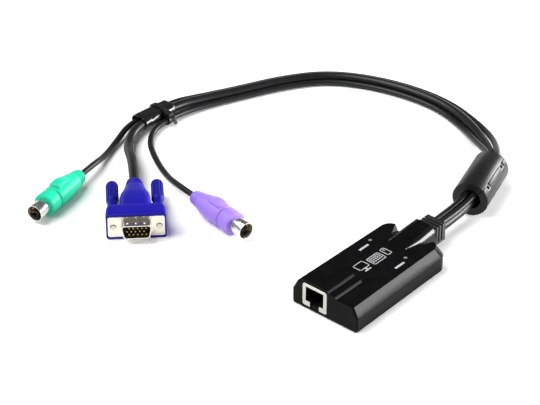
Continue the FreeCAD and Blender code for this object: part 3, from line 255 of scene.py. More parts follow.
class Workshop:
    """Mesh making shared by the sub-assemblies."""

    @staticmethod
    def place(x: float, y: float, z: float, yaw_deg: float = 0.0) -> Matrix:
        """Frame of a sub-assembly from millimetres and a turn about the vertical."""
        return Matrix.Translation(Vector((x, y, z)) * MM) @ Matrix.Rotation(math.radians(yaw_deg), 4, "Z")

    @staticmethod
    def share(value: float) -> float:
        """Hold a value between 0 and 1."""
        return min(max(value, 0.0), 1.0)

    @staticmethod
    def mesh(name: str, verts: Sequence[Vector], faces: Sequence[Sequence[int]], finish: Finish,
             where: Matrix, body: Body, smooth_deg: float = 40.0) -> bpy.types.Object:
        """Make an object from millimetre points in a sub-assembly's frame.

        Args:
            name: Piece name.
            verts: Points in millimetres.
            faces: Corner numbers of each face.
            finish: What it is made of.
            where: Frame it stands in.
            body: Body it rides on.
            smooth_deg: Edges sharper than this stay sharp.

        Returns:
            The new object, dressed and riding.
        """
        data = bpy.data.meshes.new(name)
        data.from_pydata([where @ (Vector(v) * MM) for v in verts], [], [list(f) for f in faces])
        shape = bmesh.new()
        shape.from_mesh(data)
        bmesh.ops.remove_doubles(shape, verts=shape.verts, dist=1e-6)
        bmesh.ops.recalc_face_normals(shape, faces=shape.faces)
        for face in shape.faces:
            face.smooth = True
        limit = math.radians(smooth_deg)
        for edge in shape.edges:
            edge.smooth = len(edge.link_faces) < 2 or edge.calc_face_angle(0.0) < limit
        shape.to_mesh(data)
        shape.free()
        piece = bpy.data.objects.new(name, data)
        bpy.context.scene.collection.objects.link(piece)
        data.materials.append(finish.material())
        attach(piece, body.value)
        LOG.info("made %s, %d faces", name, len(data.polygons))
        return piece

    @staticmethod
    def rings(loops: Sequence[Sequence[Vector]], cap_start: bool = True, cap_end: bool = True
              ) -> tuple[list[Vector], list[list[int]]]:
        """Skin a row of equal rings.

        Args:
            loops: Rings of points, each with the same count.
            cap_start: Close the first ring.
            cap_end: Close the last ring.

        Returns:
            Points and faces.
        """
        count = len(loops[0])
        verts = [point for loop in loops for point in loop]
        faces = []
        for row in range(len(loops) - 1):
            for column in range(count):
                after = (column + 1) % count
                faces.append([row * count + column, row * count + after,
                              (row + 1) * count + after, (row + 1) * count + column])
        if cap_start:
            faces.append(list(range(count))[::-1])
        if cap_end:
            faces.append([(len(loops) - 1) * count + column for column in range(count)])
        return verts, faces

    @staticmethod
    def lathe(profile: Sequence[tuple[float, float]], segments: int,
              shape: Callable[[float, float, float], float] | None = None
              ) -> tuple[list[Vector], list[list[int]]]:
        """Turn a profile about the +Y axis.

        Args:
            profile: Pairs of radius and distance along the axis.
            segments: Steps round the axis.
            shape: Optional change of the radius, given radius, distance and angle.

        Returns:
            Points and faces.
        """
        loops = []
        for radius, y in profile:
            loop = []
            for step in range(segments):
                angle = 2.0 * math.pi * step / segments
                r = shape(radius, y, angle) if shape else radius
                loop.append(Vector((r * math.cos(angle), y, r * math.sin(angle))))
            loops.append(loop)
        return Workshop.rings(loops)

    @staticmethod
    def softened(profile: Sequence[tuple[float, float]], cut: float,
                 steps: int = 3) -> list[tuple[float, float]]:
        """Round the corners of an open profile.

        Args:
            profile: Corner points.
            cut: How far back from a corner the rounding starts.
            steps: Pieces in each rounding.

        Returns:
            The rounded profile.
        """
        done = [profile[0]]
        for before, corner, after in zip(profile, profile[1:], profile[2:]):
            a, b, c = Vector(before), Vector(corner), Vector(after)
            first = b + (a - b).normalized() * min(cut, (a - b).length * 0.45)
            last = b + (c - b).normalized() * min(cut, (c - b).length * 0.45)
            for step in range(steps + 1):
                t = step / steps
                spot = first * (1 - t) ** 2 + b * (2 * t * (1 - t)) + last * t ** 2
                done.append((spot.x, spot.y))
        done.append(profile[-1])
        return done

    @staticmethod
    def oval(half_x: float, half_z: float, power: float, y: float, count: int = 64,
             rise: float = 0.0) -> list[Vector]:
        """Ring between an ellipse and a rectangle; a higher power is squarer."""
        loop = []
        for step in range(count):
            angle = 2.0 * math.pi * step / count
            c, s = math.cos(angle), math.sin(angle)
            loop.append(Vector((math.copysign(abs(c) ** (2.0 / power), c) * half_x, y,
                                math.copysign(abs(s) ** (2.0 / power), s) * half_z + rise)))
        return loop

    @staticmethod
    def rounded_rectangle(half_x: float, half_z: float, radius: float, y: float, middle_z: float,
                          steps: int = 6) -> list[Vector]:
        """Ring of a rectangle with rounded corners across the axis."""
        loop = []
        for corner, (sx, sz) in enumerate(((1, -1), (1, 1), (-1, 1), (-1, -1))):
            start = -90.0 + 90.0 * corner
            for step in range(steps + 1):
                angle = math.radians(start + 90.0 * step / steps)
                loop.append(Vector((sx * (half_x - radius) + radius * math.cos(angle), y,
                                    middle_z + sz * (half_z - radius) + radius * math.sin(angle))))
        return loop

    @staticmethod
    def dress(node: str, finish: Finish, edge_mm: float = 0.0, segments: int = 2,
              angle_deg: float = 32.0) -> None:
        """Give a solid of the frame its finish and softened edges.

        Args:
            node: Name of the solid.
            finish: Its finish.
            edge_mm: Edge rounding, none at 0.
            segments: Steps of the rounding.
            angle_deg: Edges sharper than this are rounded.
        """
        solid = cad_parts[node]
        solid.data.materials.clear()
        solid.data.materials.append(finish.material())
        weld = solid.modifiers.new("weld", "WELD")
        weld.merge_threshold = WELD_M
        if edge_mm > 0.0:
            bevel = solid.modifiers.new("edges", "BEVEL")
            bevel.width = edge_mm * MM
            bevel.segments = segments
            bevel.limit_method = "ANGLE"
            bevel.angle_limit = math.radians(angle_deg)
            bevel.use_clamp_overlap = True
            bevel.harden_normals = False
        LOG.info("dressed %s", node)


@dataclass
class Studio:
    """Camera, floor and lights."""

    eye_mm: Point = (567.44, -739.52, 659.61)
    target_mm: Point = (-91.66, 15.80, 0.0)
    lens_mm: float = 144.16
    floor_m: float = 8.0

    def camera(self) -> None:
        """Set the camera up at the viewing angle."""
        data = bpy.data.cameras.new("camera")
        data.lens = self.lens_mm
        data.sensor_width = 36.0
        data.clip_start = 0.05
        data.clip_end = 50.0
        eye = bpy.data.objects.new("camera", data)
        bpy.context.scene.collection.objects.link(eye)
        eye.location = Vector(self.eye_mm) * MM
        eye.rotation_mode = "QUATERNION"
        eye.rotation_quaternion = (Vector(self.target_mm) - Vector(self.eye_mm)).to_track_quat("-Z", "Y")
        bpy.context.scene.camera = eye

    def floor(self) -> None:
        """Lay the pale floor that keeps the shadows."""
        half = self.floor_m / 2
        data = bpy.data.meshes.new("floor")
        corners = [(-half, -half, 0), (half, -half, 0), (half, half, 0), (-half, half, 0)]
        data.from_pydata(corners, [], [(0, 1, 2, 3)])
        floor = bpy.data.objects.new("floor", data)
        bpy.context.scene.collection.objects.link(floor)
        paint = bpy.data.materials.new("floor_white")
        paint.use_nodes = True
        tree = paint.node_tree
        tree.nodes.clear()
        out = tree.nodes.new("ShaderNodeOutputMaterial")
        plain = tree.nodes.new("ShaderNodeBsdfDiffuse")
        plain.inputs["Color"].default_value = (BOUNCE_WHITE, BOUNCE_WHITE, BOUNCE_WHITE, 1.0)
        seen = tree.nodes.new("ShaderNodeBsdfDiffuse")
        seen.inputs["Color"].default_value = (SEEN_WHITE, SEEN_WHITE, SEEN_WHITE, 1.0)
        rays = tree.nodes.new("ShaderNodeLightPath")
        mirrored = self.larger(tree, rays.outputs["Is Glossy Ray"], rays.outputs["Is Transmission Ray"])
        shown = self.larger(tree, rays.outputs["Is Camera Ray"], mirrored)
        mix = tree.nodes.new("ShaderNodeMixShader")
        tree.links.new(shown, mix.inputs[0])
        tree.links.new(plain.outputs[0], mix.inputs[1])
        tree.links.new(seen.outputs[0], mix.inputs[2])
        tree.links.new(mix.outputs[0], out.inputs["Surface"])
        data.materials.append(paint)

    @staticmethod
    def larger(tree: bpy.types.NodeTree, first: bpy.types.NodeSocket,
               second: bpy.types.NodeSocket) -> bpy.types.NodeSocket:
        """Add the larger of two values and return its socket."""
        node = tree.nodes.new("ShaderNodeMath")
        node.operation = "MAXIMUM"
        tree.links.new(first, node.inputs[0])
        tree.links.new(second, node.inputs[1])
        return node.outputs[0]

    def sky(self) -> None:
        """A white horizon that darkens towards the ceiling, as in a tent with a black top."""
        world = bpy.data.worlds.new("surroundings")
        bpy.context.scene.world = world
        world.use_nodes = True
        tree = world.node_tree
        back = tree.nodes["Background"]
        back.inputs["Color"].default_value = (1.0, 1.0, 1.0, 1.0)
        place = tree.nodes.new("ShaderNodeTexCoord")
        split = tree.nodes.new("ShaderNodeSeparateXYZ")
        tree.links.new(place.outputs["Generated"], split.inputs[0])
        fade = tree.nodes.new("ShaderNodeMapRange")
        fade.interpolation_type = "SMOOTHSTEP"
        fade.inputs["From Min"].default_value = 0.05
        fade.inputs["From Max"].default_value = 0.32
        fade.inputs["To Min"].default_value = 1.0
        fade.inputs["To Max"].default_value = 0.14
        tree.links.new(split.outputs["Z"], fade.inputs["Value"])
        tree.links.new(fade.outputs["Result"], back.inputs["Strength"])

    def lamp(self, name: str, spot: Point, aim: Point, width: float, height: float, watts: float) -> None:
        """Hang one rectangular soft light.

        Args:
            name: Its name.
            spot: Where it hangs, metres.
            aim: Where it points, metres.
            width: Metres across.
            height: Metres high.
            watts: Power.
        """
        data = bpy.data.lights.new(name, "AREA")
        data.shape = "RECTANGLE"
        data.size = width
        data.size_y = height
        data.energy = watts
        lamp = bpy.data.objects.new(name, data)
        bpy.context.scene.collection.objects.link(lamp)
        lamp.location = spot
        lamp.rotation_mode = "QUATERNION"
        lamp.rotation_quaternion = (Vector(aim) - Vector(spot)).to_track_quat("-Z", "Y")

    def lights(self) -> None:
        """A broad soft box high on the left and two bright strips low behind on the right."""
        centre = (-0.09, 0.03, 0.0)
        self.lamp("soft_box", (-0.74, -0.54, 1.47), centre, 1.4, 1.4, 33.0)
        self.lamp("right_strip", (1.04, 0.86, 0.30), (-0.02, 0.03, 0.02), 0.58, 0.48, 25.0)
        self.lamp("rear_strip", (0.31, 1.33, 0.30), (-0.01, 0.09, 0.01), 0.46, 0.50, 15.0)

    def build(self) -> None:
        """Set up the whole studio."""
        bpy.context.scene.view_settings.view_transform = "Standard"
        self.floor()
        self.sky()
        self.lights()


@dataclass
class Cable:
    """One jacketed cable as a smooth curve along its route.

    Attributes:
        node: Solid that it stands for.
        radius_mm: Outer radius.
        length_m: Real length from the housing to its plug; not used.
        route_mm: Points that guide it.
    """

    node: str
    radius_mm: float
    length_m: float
    route_mm: Sequence[Point]

    def build(self) -> bpy.types.Object:
        """Draw the curve.

        Returns:
            The curve object.
        """
        data = bpy.data.curves.new(self.node + "_run", "CURVE")
        data.dimensions = "3D"
        data.bevel_depth = self.radius_mm * MM
        data.bevel_resolution = 6
        data.resolution_u = 14
        data.use_fill_caps = True
        spline = data.splines.new("NURBS")
        spline.points.add(len(self.route_mm) - 1)
        for point, spot in zip(spline.points, self.route_mm):
            point.co = (*(Vector(spot) * MM), 1.0)
        spline.order_u = 3
        spline.use_endpoint_u = True
        spline.use_smooth = True
        run = bpy.data.objects.new(self.node + "_run", data)
        bpy.context.scene.collection.objects.link(run)
        data.materials.append(JACKET.material())
        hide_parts(self.node)
        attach(run, Body.ADAPTER.value)
        LOG.info("laid %s", self.node)
        return run


VIDEO_CABLE = Cable("video_cable", 2.9, 0.428, (
    (0.0, 47.0, 6.55), (0.0, 58.5, 6.55), (0.0, 75.3, 8.5), (-6.6, 96.7, 8.6), (-14.3, 119.4, 8.4),
    (-34.5, 138.5, 4.6), (-55.5, 152.5, 3.0), (-81.0, 160.5, 3.0), (-108.0, 159.5, 3.0),
    (-134.0, 152.5, 3.0), (-156.0, 139.5, 3.0), (-171.0, 117.5, 3.0), (-181.5, 93.5, 3.1),
    (-191.2, 70.5, 3.8), (-196.9, 52.0, 5.2), (-198.3, 19.5, 5.2), (-188.5, 1.8, 3.6),
    (-169.65, -12.15, 7.9), (-153.34, -28.18, 7.9)))
MOUSE_CABLE = Cable("mouse_cable", 1.75, 0.4415, (
    (1.95, 47.0, 11.15), (1.95, 58.5, 11.15), (1.95, 75.6, 13.1), (-4.75, 97.3, 13.2),
    (-12.7, 120.5, 13.0), (-31.2, 143.0, 6.1), (-53.3, 157.3, 1.9), (-80.3, 165.6, 1.9),
    (-108.8, 164.6, 1.9), (-136.0, 157.2, 1.9), (-159.6, 143.3, 1.9), (-175.5, 120.0, 1.9),
    (-186.2, 95.4, 1.9), (-196.0, 72.2, 2.9), (-201.8, 52.8, 5.2), (-203.2, 19.0, 5.2),
    (-198.3, 3.5, 2.6), (-191.9, -12.5, 2.6), (-185.94, -27.36, 6.6), (-183.196, -41.088, 6.6)))
KEYBOARD_CABLE = Cable("keyboard_cable", 1.75, 0.4265, (
    (-1.95, 47.0, 11.15), (-1.95, 58.5, 11.15), (-1.95, 75.0, 13.1), (-8.45, 96.1, 13.2),
    (-15.9, 118.3, 13.0), (-37.7, 134.0, 6.2), (-57.7, 147.7, 1.9), (-81.7, 155.4, 1.9),
    (-107.2, 154.4, 1.9), (-132.0, 147.8, 1.9), (-152.4, 135.7, 1.9), (-166.5, 115.0, 1.9),
    (-176.8, 91.6, 1.9), (-186.4, 68.8, 2.2), (-191.1, 51.0, 3.1), (-191.9, 30.5, 3.2),
    (-184.5, 15.5, 2.4), (-168.0, 4.0, 2.2), (-150.5, -5.5, 3.2), (-135.9, -12.02, 6.6),
    (-120.082, -14.469, 6.6)))


@dataclass
class Housing:
    """The adapter's box: shells, socket, lights, strain relief and what they hold.

    Attributes:
        front_y: Front face.
        socket_left: Left side of the network socket.
        socket_bottom: Underside of the socket.
        socket_half_x: Half the socket's width.
        socket_half_z: Half the socket's height.
        top_z: Top face.
    """

    front_y: float = -47.0
    socket_left: float = -14.7
    socket_bottom: float = 2.1
    socket_half_x: float = 8.05
    socket_half_z: float = 6.75
    top_z: float = 14.7

    def build(self) -> None:
        """Dress the shells and make the small pieces."""
        Workshop.dress("upper_shell", CASE_BLACK, 0.40, 3, 18.0)
        Workshop.dress("lower_shell", CASE_BLACK, 0.35, 3)
        Workshop.dress("circuit_board", BOARD_GREEN)
        Workshop.dress("jack_insert", INSERT_BLACK, 0.1)
        Workshop.dress("controller_chip", CHIP)
        Workshop.dress("crystal", CRYSTAL, 0.3)
        Workshop.dress("cable_header", HEADER, 0.2)
        Workshop.dress("inner_leads", LEADS)
        Workshop.dress("link_light", LIGHT_PIPE, 0.15)
        Workshop.dress("power_light", LIGHT_PIPE, 0.15)
        Workshop.dress("case_screws", SCREW_STEEL, 0.2)
        Workshop.dress("strain_relief", RELIEF, 0.35, 3)
        self.contacts()
        self.blank_label()
        self.shield()
        self.cheek("left_cheek", -1.0)
        self.cheek("right_cheek", 1.0)
        self.printed_marks()

    def contacts(self) -> None:
        """Eight sprung gold wires that slope back from the socket's roof."""
        path = [(3.0, 13.5), (3.6, 13.2), (4.4, 12.7), (6.5, 11.9), (8.6, 11.1), (10.0, 10.72), (10.6, 10.8),
                (10.9, 11.2)]
        count, pitch, half_width, half_thick = 8, 1.02, 0.19, 0.15
        verts: list[Vector] = []
        faces: list[list[int]] = []
        for index in range(count):
            x = self.socket_left + self.socket_half_x + (index - (count - 1) / 2) * pitch
            loops = []
            for y, z in path:
                loops.append([Vector((x + a * half_width, self.front_y + y, z + b * half_thick))
                              for a, b in ((-1, -1), (1, -1), (1, 1), (-1, 1))])
            points, skins = Workshop.rings(loops)
            base = len(verts)
            verts += points
            faces += [[corner + base for corner in skin] for skin in skins]
        wires = Workshop.mesh("socket_contacts", verts, faces, GOLD, Matrix.Identity(4), Body.ADAPTER, 50)
        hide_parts("jack_contacts")

    def blank_label(self) -> None:
        """Plain plastic-film label in its recess underneath."""
        outline = Workshop.rounded_rectangle(9.6, 14.6, 1.0, 0.0, 0.0)
        loops = [[Vector((p.x, p.z, z)) for p in outline] for z in (0.12, 0.3)]
        verts, faces = Workshop.rings(loops)
        Workshop.mesh("blank_label", verts, faces, LABEL, Matrix.Identity(4), Body.ADAPTER, 30)

    def shield(self) -> None:
        """Bright socket frame with rounded corners round its stepped mouth."""
        wide, high = self.socket_half_x, self.socket_half_z
        outer = [(wide, high), (-wide, high), (-wide, -high), (wide, -high)]
        mouth_x, latch_x = 5.9, 3.1
        mouth_top, sill, foot = 5.05, -3.75, -high
        mouth = [(mouth_x, mouth_top), (-mouth_x, mouth_top), (-mouth_x, sill), (-latch_x, sill),
                 (-latch_x, foot), (latch_x, foot), (latch_x, sill), (mouth_x, sill)]
        notch = math.atan2(foot, latch_x)
        turns = sorted(notch + turn for turn in {round((math.atan2(z, x) - notch) % math.tau, 6)
                                                 for x, z in outer + mouth}
                       | {round(math.tau * step / 96, 6) for step in range(96)}
                       if turn < math.pi - 2 * notch + 1e-5)

        def reach(corners: Sequence[tuple[float, float]], turn: float) -> Vector:
            """Where a ray from the middle leaves a polygon."""
            ray = Vector((math.cos(turn), math.sin(turn)))
            best = 0.0
            for a, b in zip(corners, corners[1:] + corners[:1]):
                first, edge = Vector(a), Vector(b) - Vector(a)
                across = ray.x * edge.y - ray.y * edge.x
                if abs(across) < 1e-9:
                    continue
                along = (first.x * edge.y - first.y * edge.x) / across
                share = (first.x * ray.y - first.y * ray.x) / across
                if along > 0.0 and -1e-4 <= share <= 1.0001:
                    best = max(best, along)
            return ray * best

        def rounded(flat: Vector, half_x: float, half_z: float, radius: float) -> Vector:
            """Pull a point of a rectangle onto its rounded corner."""
            core = Vector((min(max(flat.x, radius - half_x), half_x - radius),
                           min(max(flat.y, radius - half_z), half_z - radius)))
            away = flat - core
            return core + away.normalized() * min(away.length, radius) if away.length > 1e-6 else flat

        def loop(inset: float, y: float, radius: float) -> list[Vector]:
            """Outer ring drawn in by an inset."""
            ring = []
            for turn in turns:
                flat = reach([(x * (1 - inset / wide), z * (1 - inset / high)) for x, z in outer], turn)
                flat = max(rounded(flat, wide - inset, high - inset, radius), reach(mouth, turn),
                           key=lambda spot: spot.length)
                ring.append(Vector((flat.x, y, flat.y)))
            return ring

        rear_y, sheet = 18.6, 0.3
        opening = [reach(mouth, turn) for turn in turns]
        loops = [loop(0.0, rear_y, 1.2), loop(0.0, 0.16, 1.2), loop(0.12, 0.0, 1.1)]
        loops += [[Vector((p.x, y, p.y)) for p in opening] for y in (0.0, 0.28)]
        loops += [loop(sheet, sheet, 0.9), loop(sheet, rear_y, 0.9), loops[0]]
        verts, faces = Workshop.rings(loops, False, False)
        faces = [face for number, face in enumerate(faces) if (number + 1) % len(turns)]
        where = Workshop.place(self.socket_left + wide, self.front_y, self.socket_bottom + high)
        frame_piece = Workshop.mesh("socket_frame", verts, faces, SHIELD, where, Body.ADAPTER, 35)
        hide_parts("jack_shield")

    def cheek(self, name: str, side: float) -> None:
        """Full, rounded flank of the nose, which runs out into the scoop at its front, made in a shinier
        copy of the case plastic that paints a highlight on it.

        Args:
            name: Piece name.
            side: 1 on the right, -1 on the left.
        """
        sections, points = 24, 12
        tip_y, rear_y, wall_y = 12.0, 35.45, 30.0
        ridge_start_x, ridge_start_z, foot_start_z = 5.98, 15.22, 14.65
        ridge_draw, ridge_climb, foot_fall = 0.0535, 0.0967, 0.3145
        reach_x, mouth_x, lap, embed = 3.2, 8.58, 0.7, 1.1
        loops = []
        for section in range(sections + 1):
            t = section / sections
            y = tip_y + (rear_y - tip_y) * t
            ridge_x = ridge_start_x - ridge_draw * (y - tip_y)
            ridge_z = ridge_start_z + ridge_climb * (y - tip_y)
            swell = math.sin(0.5 * math.pi * min(t / 0.8, 1.0))
            past_wall = max(0.0, (y - wall_y) / (rear_y - wall_y))
            foot_z = foot_start_z - foot_fall * (min(y, wall_y) - tip_y) - 1.45 * past_wall
            foot_x = ridge_x + 0.25 + swell * reach_x + 0.1 * max(0.0, y - wall_y)
            foot_x = min(foot_x, mouth_x) if y > wall_y else foot_x
            loop = []
            for point in range(points + 1):
                down = point / points
                bulge = math.sin(math.pi * down) ** 0.8 * 0.16 * (ridge_z - foot_z) * swell
                x = ridge_x - lap * (1 - down) ** 3 + (foot_x - ridge_x) * down ** 1.15 + bulge * 0.75
                z = ridge_z + 0.04 - 0.04 * down + (foot_z - ridge_z) * down ** 1.25 + bulge * 0.25
                loop.append(Vector((side * x, y, z)))
            loop.append(Vector((side * (ridge_x - embed), y, foot_z)))
            loop.append(Vector((side * (ridge_x - embed), y, ridge_z - 0.5)))
            loops.append(loop)
        verts, faces = Workshop.rings(loops)
        # The flanks take the shinier copy of the case plastic, which paints a highlight on them.
        Workshop.mesh(name, verts, faces, CHEEK_PAINTED_HIGHLIGHT, Matrix.Identity(4), Body.ADAPTER, 50)

    def printed_marks(self) -> None:
        """Plain pad-printed marks: a bar beside each light, and a screen, a keyboard and a mouse."""
        self.print_bars("light_marks", [(-12.2, -4.6, -10.9, 2.8), (12.2, -5.2, 13.5, 2.2)])
        line = 0.5
        screen, stand, foot = (-4.9, -18.8, 1.0, -11.2), (1.0, -15.6, 2.6, -14.4), (2.4, -17.4, 3.2, -12.6)
        keyboard = (-3.6, -9.4, 3.0, 0.2)
        mouse, wheel = (-3.9, 2.0, 2.6, 5.6), (-2.9, 3.55, -1.2, 4.05)
        bars: list[Bar] = []

        def outline(left: float, front: float, right: float, rear: float) -> None:
            """Add the four strokes of a rectangle."""
            bars.extend([(left, front, right, front + line), (left, rear - line, right, rear),
                         (left, front, left + line, rear), (right - line, front, right, rear)])

        outline(*screen)
        bars.extend([stand, foot])
        outline(*keyboard)
        for row in range(3):
            left = -2.5 + row * 1.5
            bars.extend([(left, -8.4 + key * 1.6, left + 0.9, -7.4 + key * 1.6) for key in range(5)])
        outline(*mouse)
        bars.append(wheel)
        self.print_bars("device_marks", bars)

    def print_bars(self, name: str, bars: Sequence[Bar]) -> None:
        """Print solid bars on the top.

        Args:
            name: Piece name.
            bars: Left, front, right and rear edge of each bar.
        """
        verts: list[Vector] = []
        faces: list[list[int]] = []
        for left, front, right, rear in bars:
            middle_x, middle_y = (left + right) / 2, (front + rear) / 2
            flat = Workshop.rounded_rectangle((right - left) / 2, (rear - front) / 2, 0.12, 0.0, 0.0, 2)
            loops = [[Vector((middle_x + p.x, middle_y + p.z, z)) for p in flat]
                     for z in (self.top_z - 0.03, self.top_z + 0.02)]
            points, skins = Workshop.rings(loops)
            base = len(verts)
            verts += points
            faces += [[corner + base for corner in skin] for skin in skins]
        Workshop.mesh(name, verts, faces, PRINT, Matrix.Identity(4), Body.ADAPTER, 30)


@dataclass
class Ferrite:
    """Hinged ferrite: two case halves round a ceramic tube."""

    def build(self) -> None:
        """Dress both halves."""
        Workshop.dress("ferrite_base", FERRITE, 0.45, 3)
        Workshop.dress("ferrite_lid", FERRITE, 0.45, 3)
        Workshop.dress("ferrite_core_base", CERAMIC, 0.3)
        Workshop.dress("ferrite_core_lid", CERAMIC, 0.3)


@dataclass
class Branch:
    """The oval sleeve where the cables part and the tie round it.

    Attributes:
        where: Frame of the sleeve's end nearest the plugs.
        length: Length of the sleeve.
    """

    where: Matrix = field(default_factory=lambda: Workshop.place(-199.85, 23.5, 5.2, -2.5))
    length: float = 24.5

    def build(self) -> None:
        """Shrink the sleeve on and dress the tie."""
        self.sleeve()
        Workshop.dress("cable_tie", TIE, 0.15)

    def ring(self, y: float, half_x: float, half_z: float, ripple: float) -> list[Vector]:
        """Ring of the sleeve, drawn in a little between the two cables."""
        loop = []
        for step in range(72):
            angle = 2.0 * math.pi * step / 72
            c, s = math.cos(angle), math.sin(angle)
            flat = half_x - half_z
            waist = 1.0 - 0.05 * math.exp(-((c * half_x + 0.8) / 1.4) ** 2)
            wave = ripple * noise.noise(Vector((c * 2.0, y * 0.45, s * 2.0)))
            loop.append(Vector((c * (half_z + wave) + math.copysign(flat, c) * min(abs(c) * 6.0, 1.0), y,
                                s * (half_z * waist + wave))))
        return loop

    def sleeve(self) -> None:
        """Shiny sleeve with a rolled mouth and faint shrink ripples."""
        steps, roll, ripple = 40, 0.25, 0.12
        wide_x, wide_z, narrow_x, narrow_z = 6.25, 4.25, 5.85, 4.05
        loops = []
        for step in range(steps + 1):
            t = step / steps
            half_x = wide_x + (narrow_x - wide_x) * t
            half_z = wide_z + (narrow_z - wide_z) * t
            edge = min(t, 1 - t) * self.length
            tuck = roll * max(0.0, 1 - edge / 0.5) ** 2
            loops.append(self.ring(t * self.length, half_x - tuck, half_z - tuck, ripple))
        inner = [self.ring(t * self.length, 5.6 - 0.4 * t, 3.6 - 0.2 * t, 0.0)
                 for t in (1.0, 0.75, 0.5, 0.25, 0.0)]
        verts, faces = Workshop.rings(loops + inner + loops[:1], False, False)
        sleeve = Workshop.mesh("branch_sleeve_skin", verts, faces, SLEEVE, self.where, Body.ADAPTER, 60)
        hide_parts("branch_sleeve")


@dataclass
class VideoPlug:
    """The 15-way plug: hood, pressed front, pins and thumbscrews.

    Attributes:
        where: Frame of the hood's front face, +Y towards the cable.
        middle: Height of the plug's axis.
    """

    where: Matrix = field(default_factory=lambda: Workshop.place(-122.65, -58.3, 0.0, 45.54))
    middle: float = 7.9

    def build(self) -> None:
        """Make the hood and grips and dress the metal."""
        self.hood_front()
        self.hood_body()
        for side, sign, body in (("left", -1, Body.LEFT_SCREW), ("right", 1, Body.RIGHT_SCREW)):
            self.grip(side, sign, body)
            Workshop.dress(side + "_jackscrew", SCREW_STEEL, 0.2)
        Workshop.dress("video_shell", NICKEL, 0.15)
        Workshop.dress("video_insert", VIDEO_INSERT, 0.1)
        Workshop.dress("video_pins", PIN_GOLD, 0.15)

    def hood_front(self) -> None:
        """Block behind the flange, with the recess that the flange sits in."""
        stations = [(14.6, 7.0, 1.5, 11.0), (15.3, 7.7, 1.8, 10.7), (15.6, 7.88, 1.9, 10.0),
                    (16.1, 7.9, 1.7, 7.5), (16.35, 7.9, 1.6, 3.0), (16.4, 7.9, 1.6, 0.9),
                    (16.25, 7.75, 1.5, 0.15), (15.9, 7.5, 1.3, 0.0), (15.62, 6.5, 1.2, 0.0),
                    (15.55, 6.42, 1.2, 0.12), (15.55, 6.42, 1.2, 0.8)]
        loops = [Workshop.rounded_rectangle(half_x, half_z, radius, y, self.middle)
                 for half_x, half_z, radius, y in stations]
        verts, faces = Workshop.rings(loops)
        front = Workshop.mesh("video_hood_front", verts, faces, VIDEO_BLUE, self.where, Body.ADAPTER, 50)
        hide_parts("video_hood")

    def hood_body(self) -> None:
        """Waisted grip that narrows to a ribbed neck round the cable."""
        stations = [(9.5, 8.7, 7.7, 5.5), (12.0, 8.65, 7.75, 5.0), (16.0, 8.6, 7.7, 4.6),
                    (20.0, 8.55, 7.55, 4.2), (23.5, 8.4, 7.3, 3.8), (26.0, 8.1, 7.0, 3.5),
                    (28.5, 7.35, 6.6, 3.2), (31.0, 6.6, 6.15, 3.0), (33.5, 6.05, 5.75, 2.8),
                    (35.0, 5.8, 5.5, 2.7)]
        ribs, pitch, taper = 4, 1.75, 0.32
        for rib in range(ribs):
            y = 35.6 + rib * pitch
            half = 5.6 - rib * taper
            stations += [(y, half - 0.05, half - 0.25, 2.6), (y + 0.3, half - 0.5, half - 0.7, 2.6),
                         (y + 0.75, half - 0.5, half - 0.7, 2.6), (y + 1.05, half - 0.12, half - 0.32, 2.6)]
        stations += [(42.4, 4.3, 4.2, 2.4), (42.85, 4.1, 4.0, 2.3), (43.0, 3.7, 3.6, 2.2)]
        loops = [Workshop.oval(half_x, half_z, power, y, 72, self.middle)
                 for y, half_x, half_z, power in stations]
        verts, faces = Workshop.rings(loops)
        Workshop.mesh("video_hood_body", verts, faces, VIDEO_BLUE, self.where, Body.ADAPTER, 60)

    def grip(self, side: str, sign: int, body: Body) -> None:
        """Fluted thumbscrew grip with a shallow round recess in its end.

        Args:
            side: Which side it is on.
            sign: -1 left, 1 right.
            body: Body it turns with.
        """
        profile = Workshop.softened([(0.0, 0.0), (2.85, 0.0), (2.85, 12.8), (3.6, 14.8), (3.6, 29.0),
                                     (3.2, 30.5), (2.5, 30.8), (2.3, 29.9), (0.0, 29.8)], 0.5)
        flutes, flute_mm, flutes_start, flutes_end = 12, 0.48, 13.8, 30.2
        fine: list[tuple[float, float]] = []
        for (r0, y0), (r1, y1) in zip(profile, profile[1:]):
            steps = max(1, int(abs(y1 - y0)))
            fine += [(r0 + (r1 - r0) * k / steps, y0 + (y1 - y0) * k / steps) for k in range(steps)]
        fine.append(profile[-1])

        def fluted(radius: float, y: float, angle: float) -> float:
            """Scallop the head, fading in above the shank."""
            depth = flute_mm * Workshop.share((y - flutes_start) / 1.6) * Workshop.share(flutes_end - y)
            return radius - depth * (0.5 + 0.5 * math.cos(flutes * angle)) ** 2 if radius > 2.0 else radius

        verts, faces = Workshop.lathe(fine, 96, fluted)
        where = self.where @ Matrix.Translation(Vector((sign * 12.5, 11.3, self.middle)) * MM)
        grip = Workshop.mesh(side + "_grip", verts, faces, GRIP_BLUE, where, body, 50)
        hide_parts(side + "_thumb_grip")


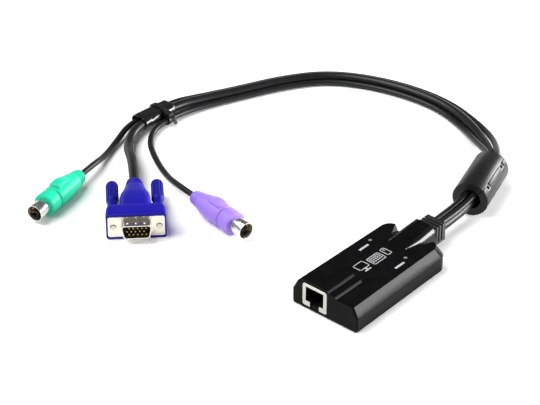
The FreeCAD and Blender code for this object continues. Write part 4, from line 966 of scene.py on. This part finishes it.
@dataclass
class RoundPlug:
    """A six-way round plug: soft moulding, metal barrel, insulator and pins.

    Attributes:
        name: Start of its nodes' names.
        where: Frame of the moulding's front face.
        finish: Colour of the moulding.
        axis: Height of the plug's axis.
    """

    name: str
    where: Matrix
    finish: Finish
    axis: float = 6.6

    def build(self) -> None:
        """Make the moulding and dress the rest."""
        centre = self.where @ Matrix.Translation(Vector((0.0, 0.0, self.axis)) * MM)
        self.boot(centre)
        self.thumb_pad(centre)
        Workshop.dress(self.name + "_barrel", BARREL, 0.12)
        Workshop.dress(self.name + "_insert", PLUG_INSERT, 0.1)
        Workshop.dress(self.name + "_pins", PIN_GOLD, 0.2)

    def boot(self, centre: Matrix) -> None:
        """Turned moulding with a collar, a ring groove and a ribbed tail."""
        outline = [(4.5, 0.0), (6.0, 0.0), (6.55, 0.5), (6.6, 7.7), (5.75, 8.05), (5.75, 8.85), (6.5, 9.25),
                   (6.6, 13.0), (6.6, 20.0), (6.2, 24.0), (5.4, 27.5), (5.0, 29.4)]
        ribs, pitch, taper = 3, 1.8, 0.3
        for rib in range(ribs):
            y = 29.8 + rib * pitch
            r = 4.95 - rib * taper
            outline += [(r, y), (r - 0.55, y + 0.25), (r - 0.55, y + 0.8), (r - 0.15, y + 1.05)]
        outline += [(4.0, 35.2), (3.7, 35.5), (1.6, 35.5)]
        verts, faces = Workshop.lathe(Workshop.softened(outline, 0.35, 2), 64)
        boot = Workshop.mesh(self.name + "_moulding", verts, faces, self.finish, centre, Body.ADAPTER, 60)
        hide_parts(self.name + "_boot")

    def thumb_pad(self, centre: Matrix) -> None:
        """Raised pad on top, crowned and rounded, that shows which way up the plug goes."""
        stations = [(10.3, 2.4, 5.2), (10.5, 3.0, 7.2), (10.9, 3.35, 7.9), (11.6, 3.5, 8.2),
                    (13.0, 3.5, 8.3), (15.0, 3.5, 8.3), (17.0, 3.45, 8.15), (19.0, 3.3, 7.7),
                    (21.0, 3.0, 7.0), (23.0, 2.4, 6.2), (23.8, 1.8, 5.4)]
        low = 2.5
        loops = [Workshop.oval(half, (top - low) / 2, 3.6, y, 40, (low + top) / 2)
                 for y, half, top in stations]
        verts, faces = Workshop.rings(loops)
        Workshop.mesh(self.name + "_thumb_pad", verts, faces, self.finish, centre, Body.ADAPTER, 60)


def lay_cables() -> dict[str, bpy.types.Object]:
    """Lay the three cables.

    Returns:
        The curves by node name.
    """
    return {cable.node: cable.build() for cable in (VIDEO_CABLE, MOUSE_CABLE, KEYBOARD_CABLE)}


def main() -> None:
    """Build the adapter, sub-assembly by sub-assembly."""
    logging.basicConfig(level=logging.INFO, format="%(name)s: %(message)s")
    studio = Studio()
    studio.camera()
    runs = lay_cables()
    studio.build()
    Housing().build()
    Ferrite().build()
    Branch().build()
    VideoPlug().build()
    RoundPlug("mouse", Workshop.place(-176.24, -75.9, 0.0, 11.3), MOUSE_GREEN).build()
    RoundPlug("keyboard", Workshop.place(-85.0, -19.9, 0.0, 81.2), KEYS_VIOLET).build()


if __name__ == "__main__":
    main()
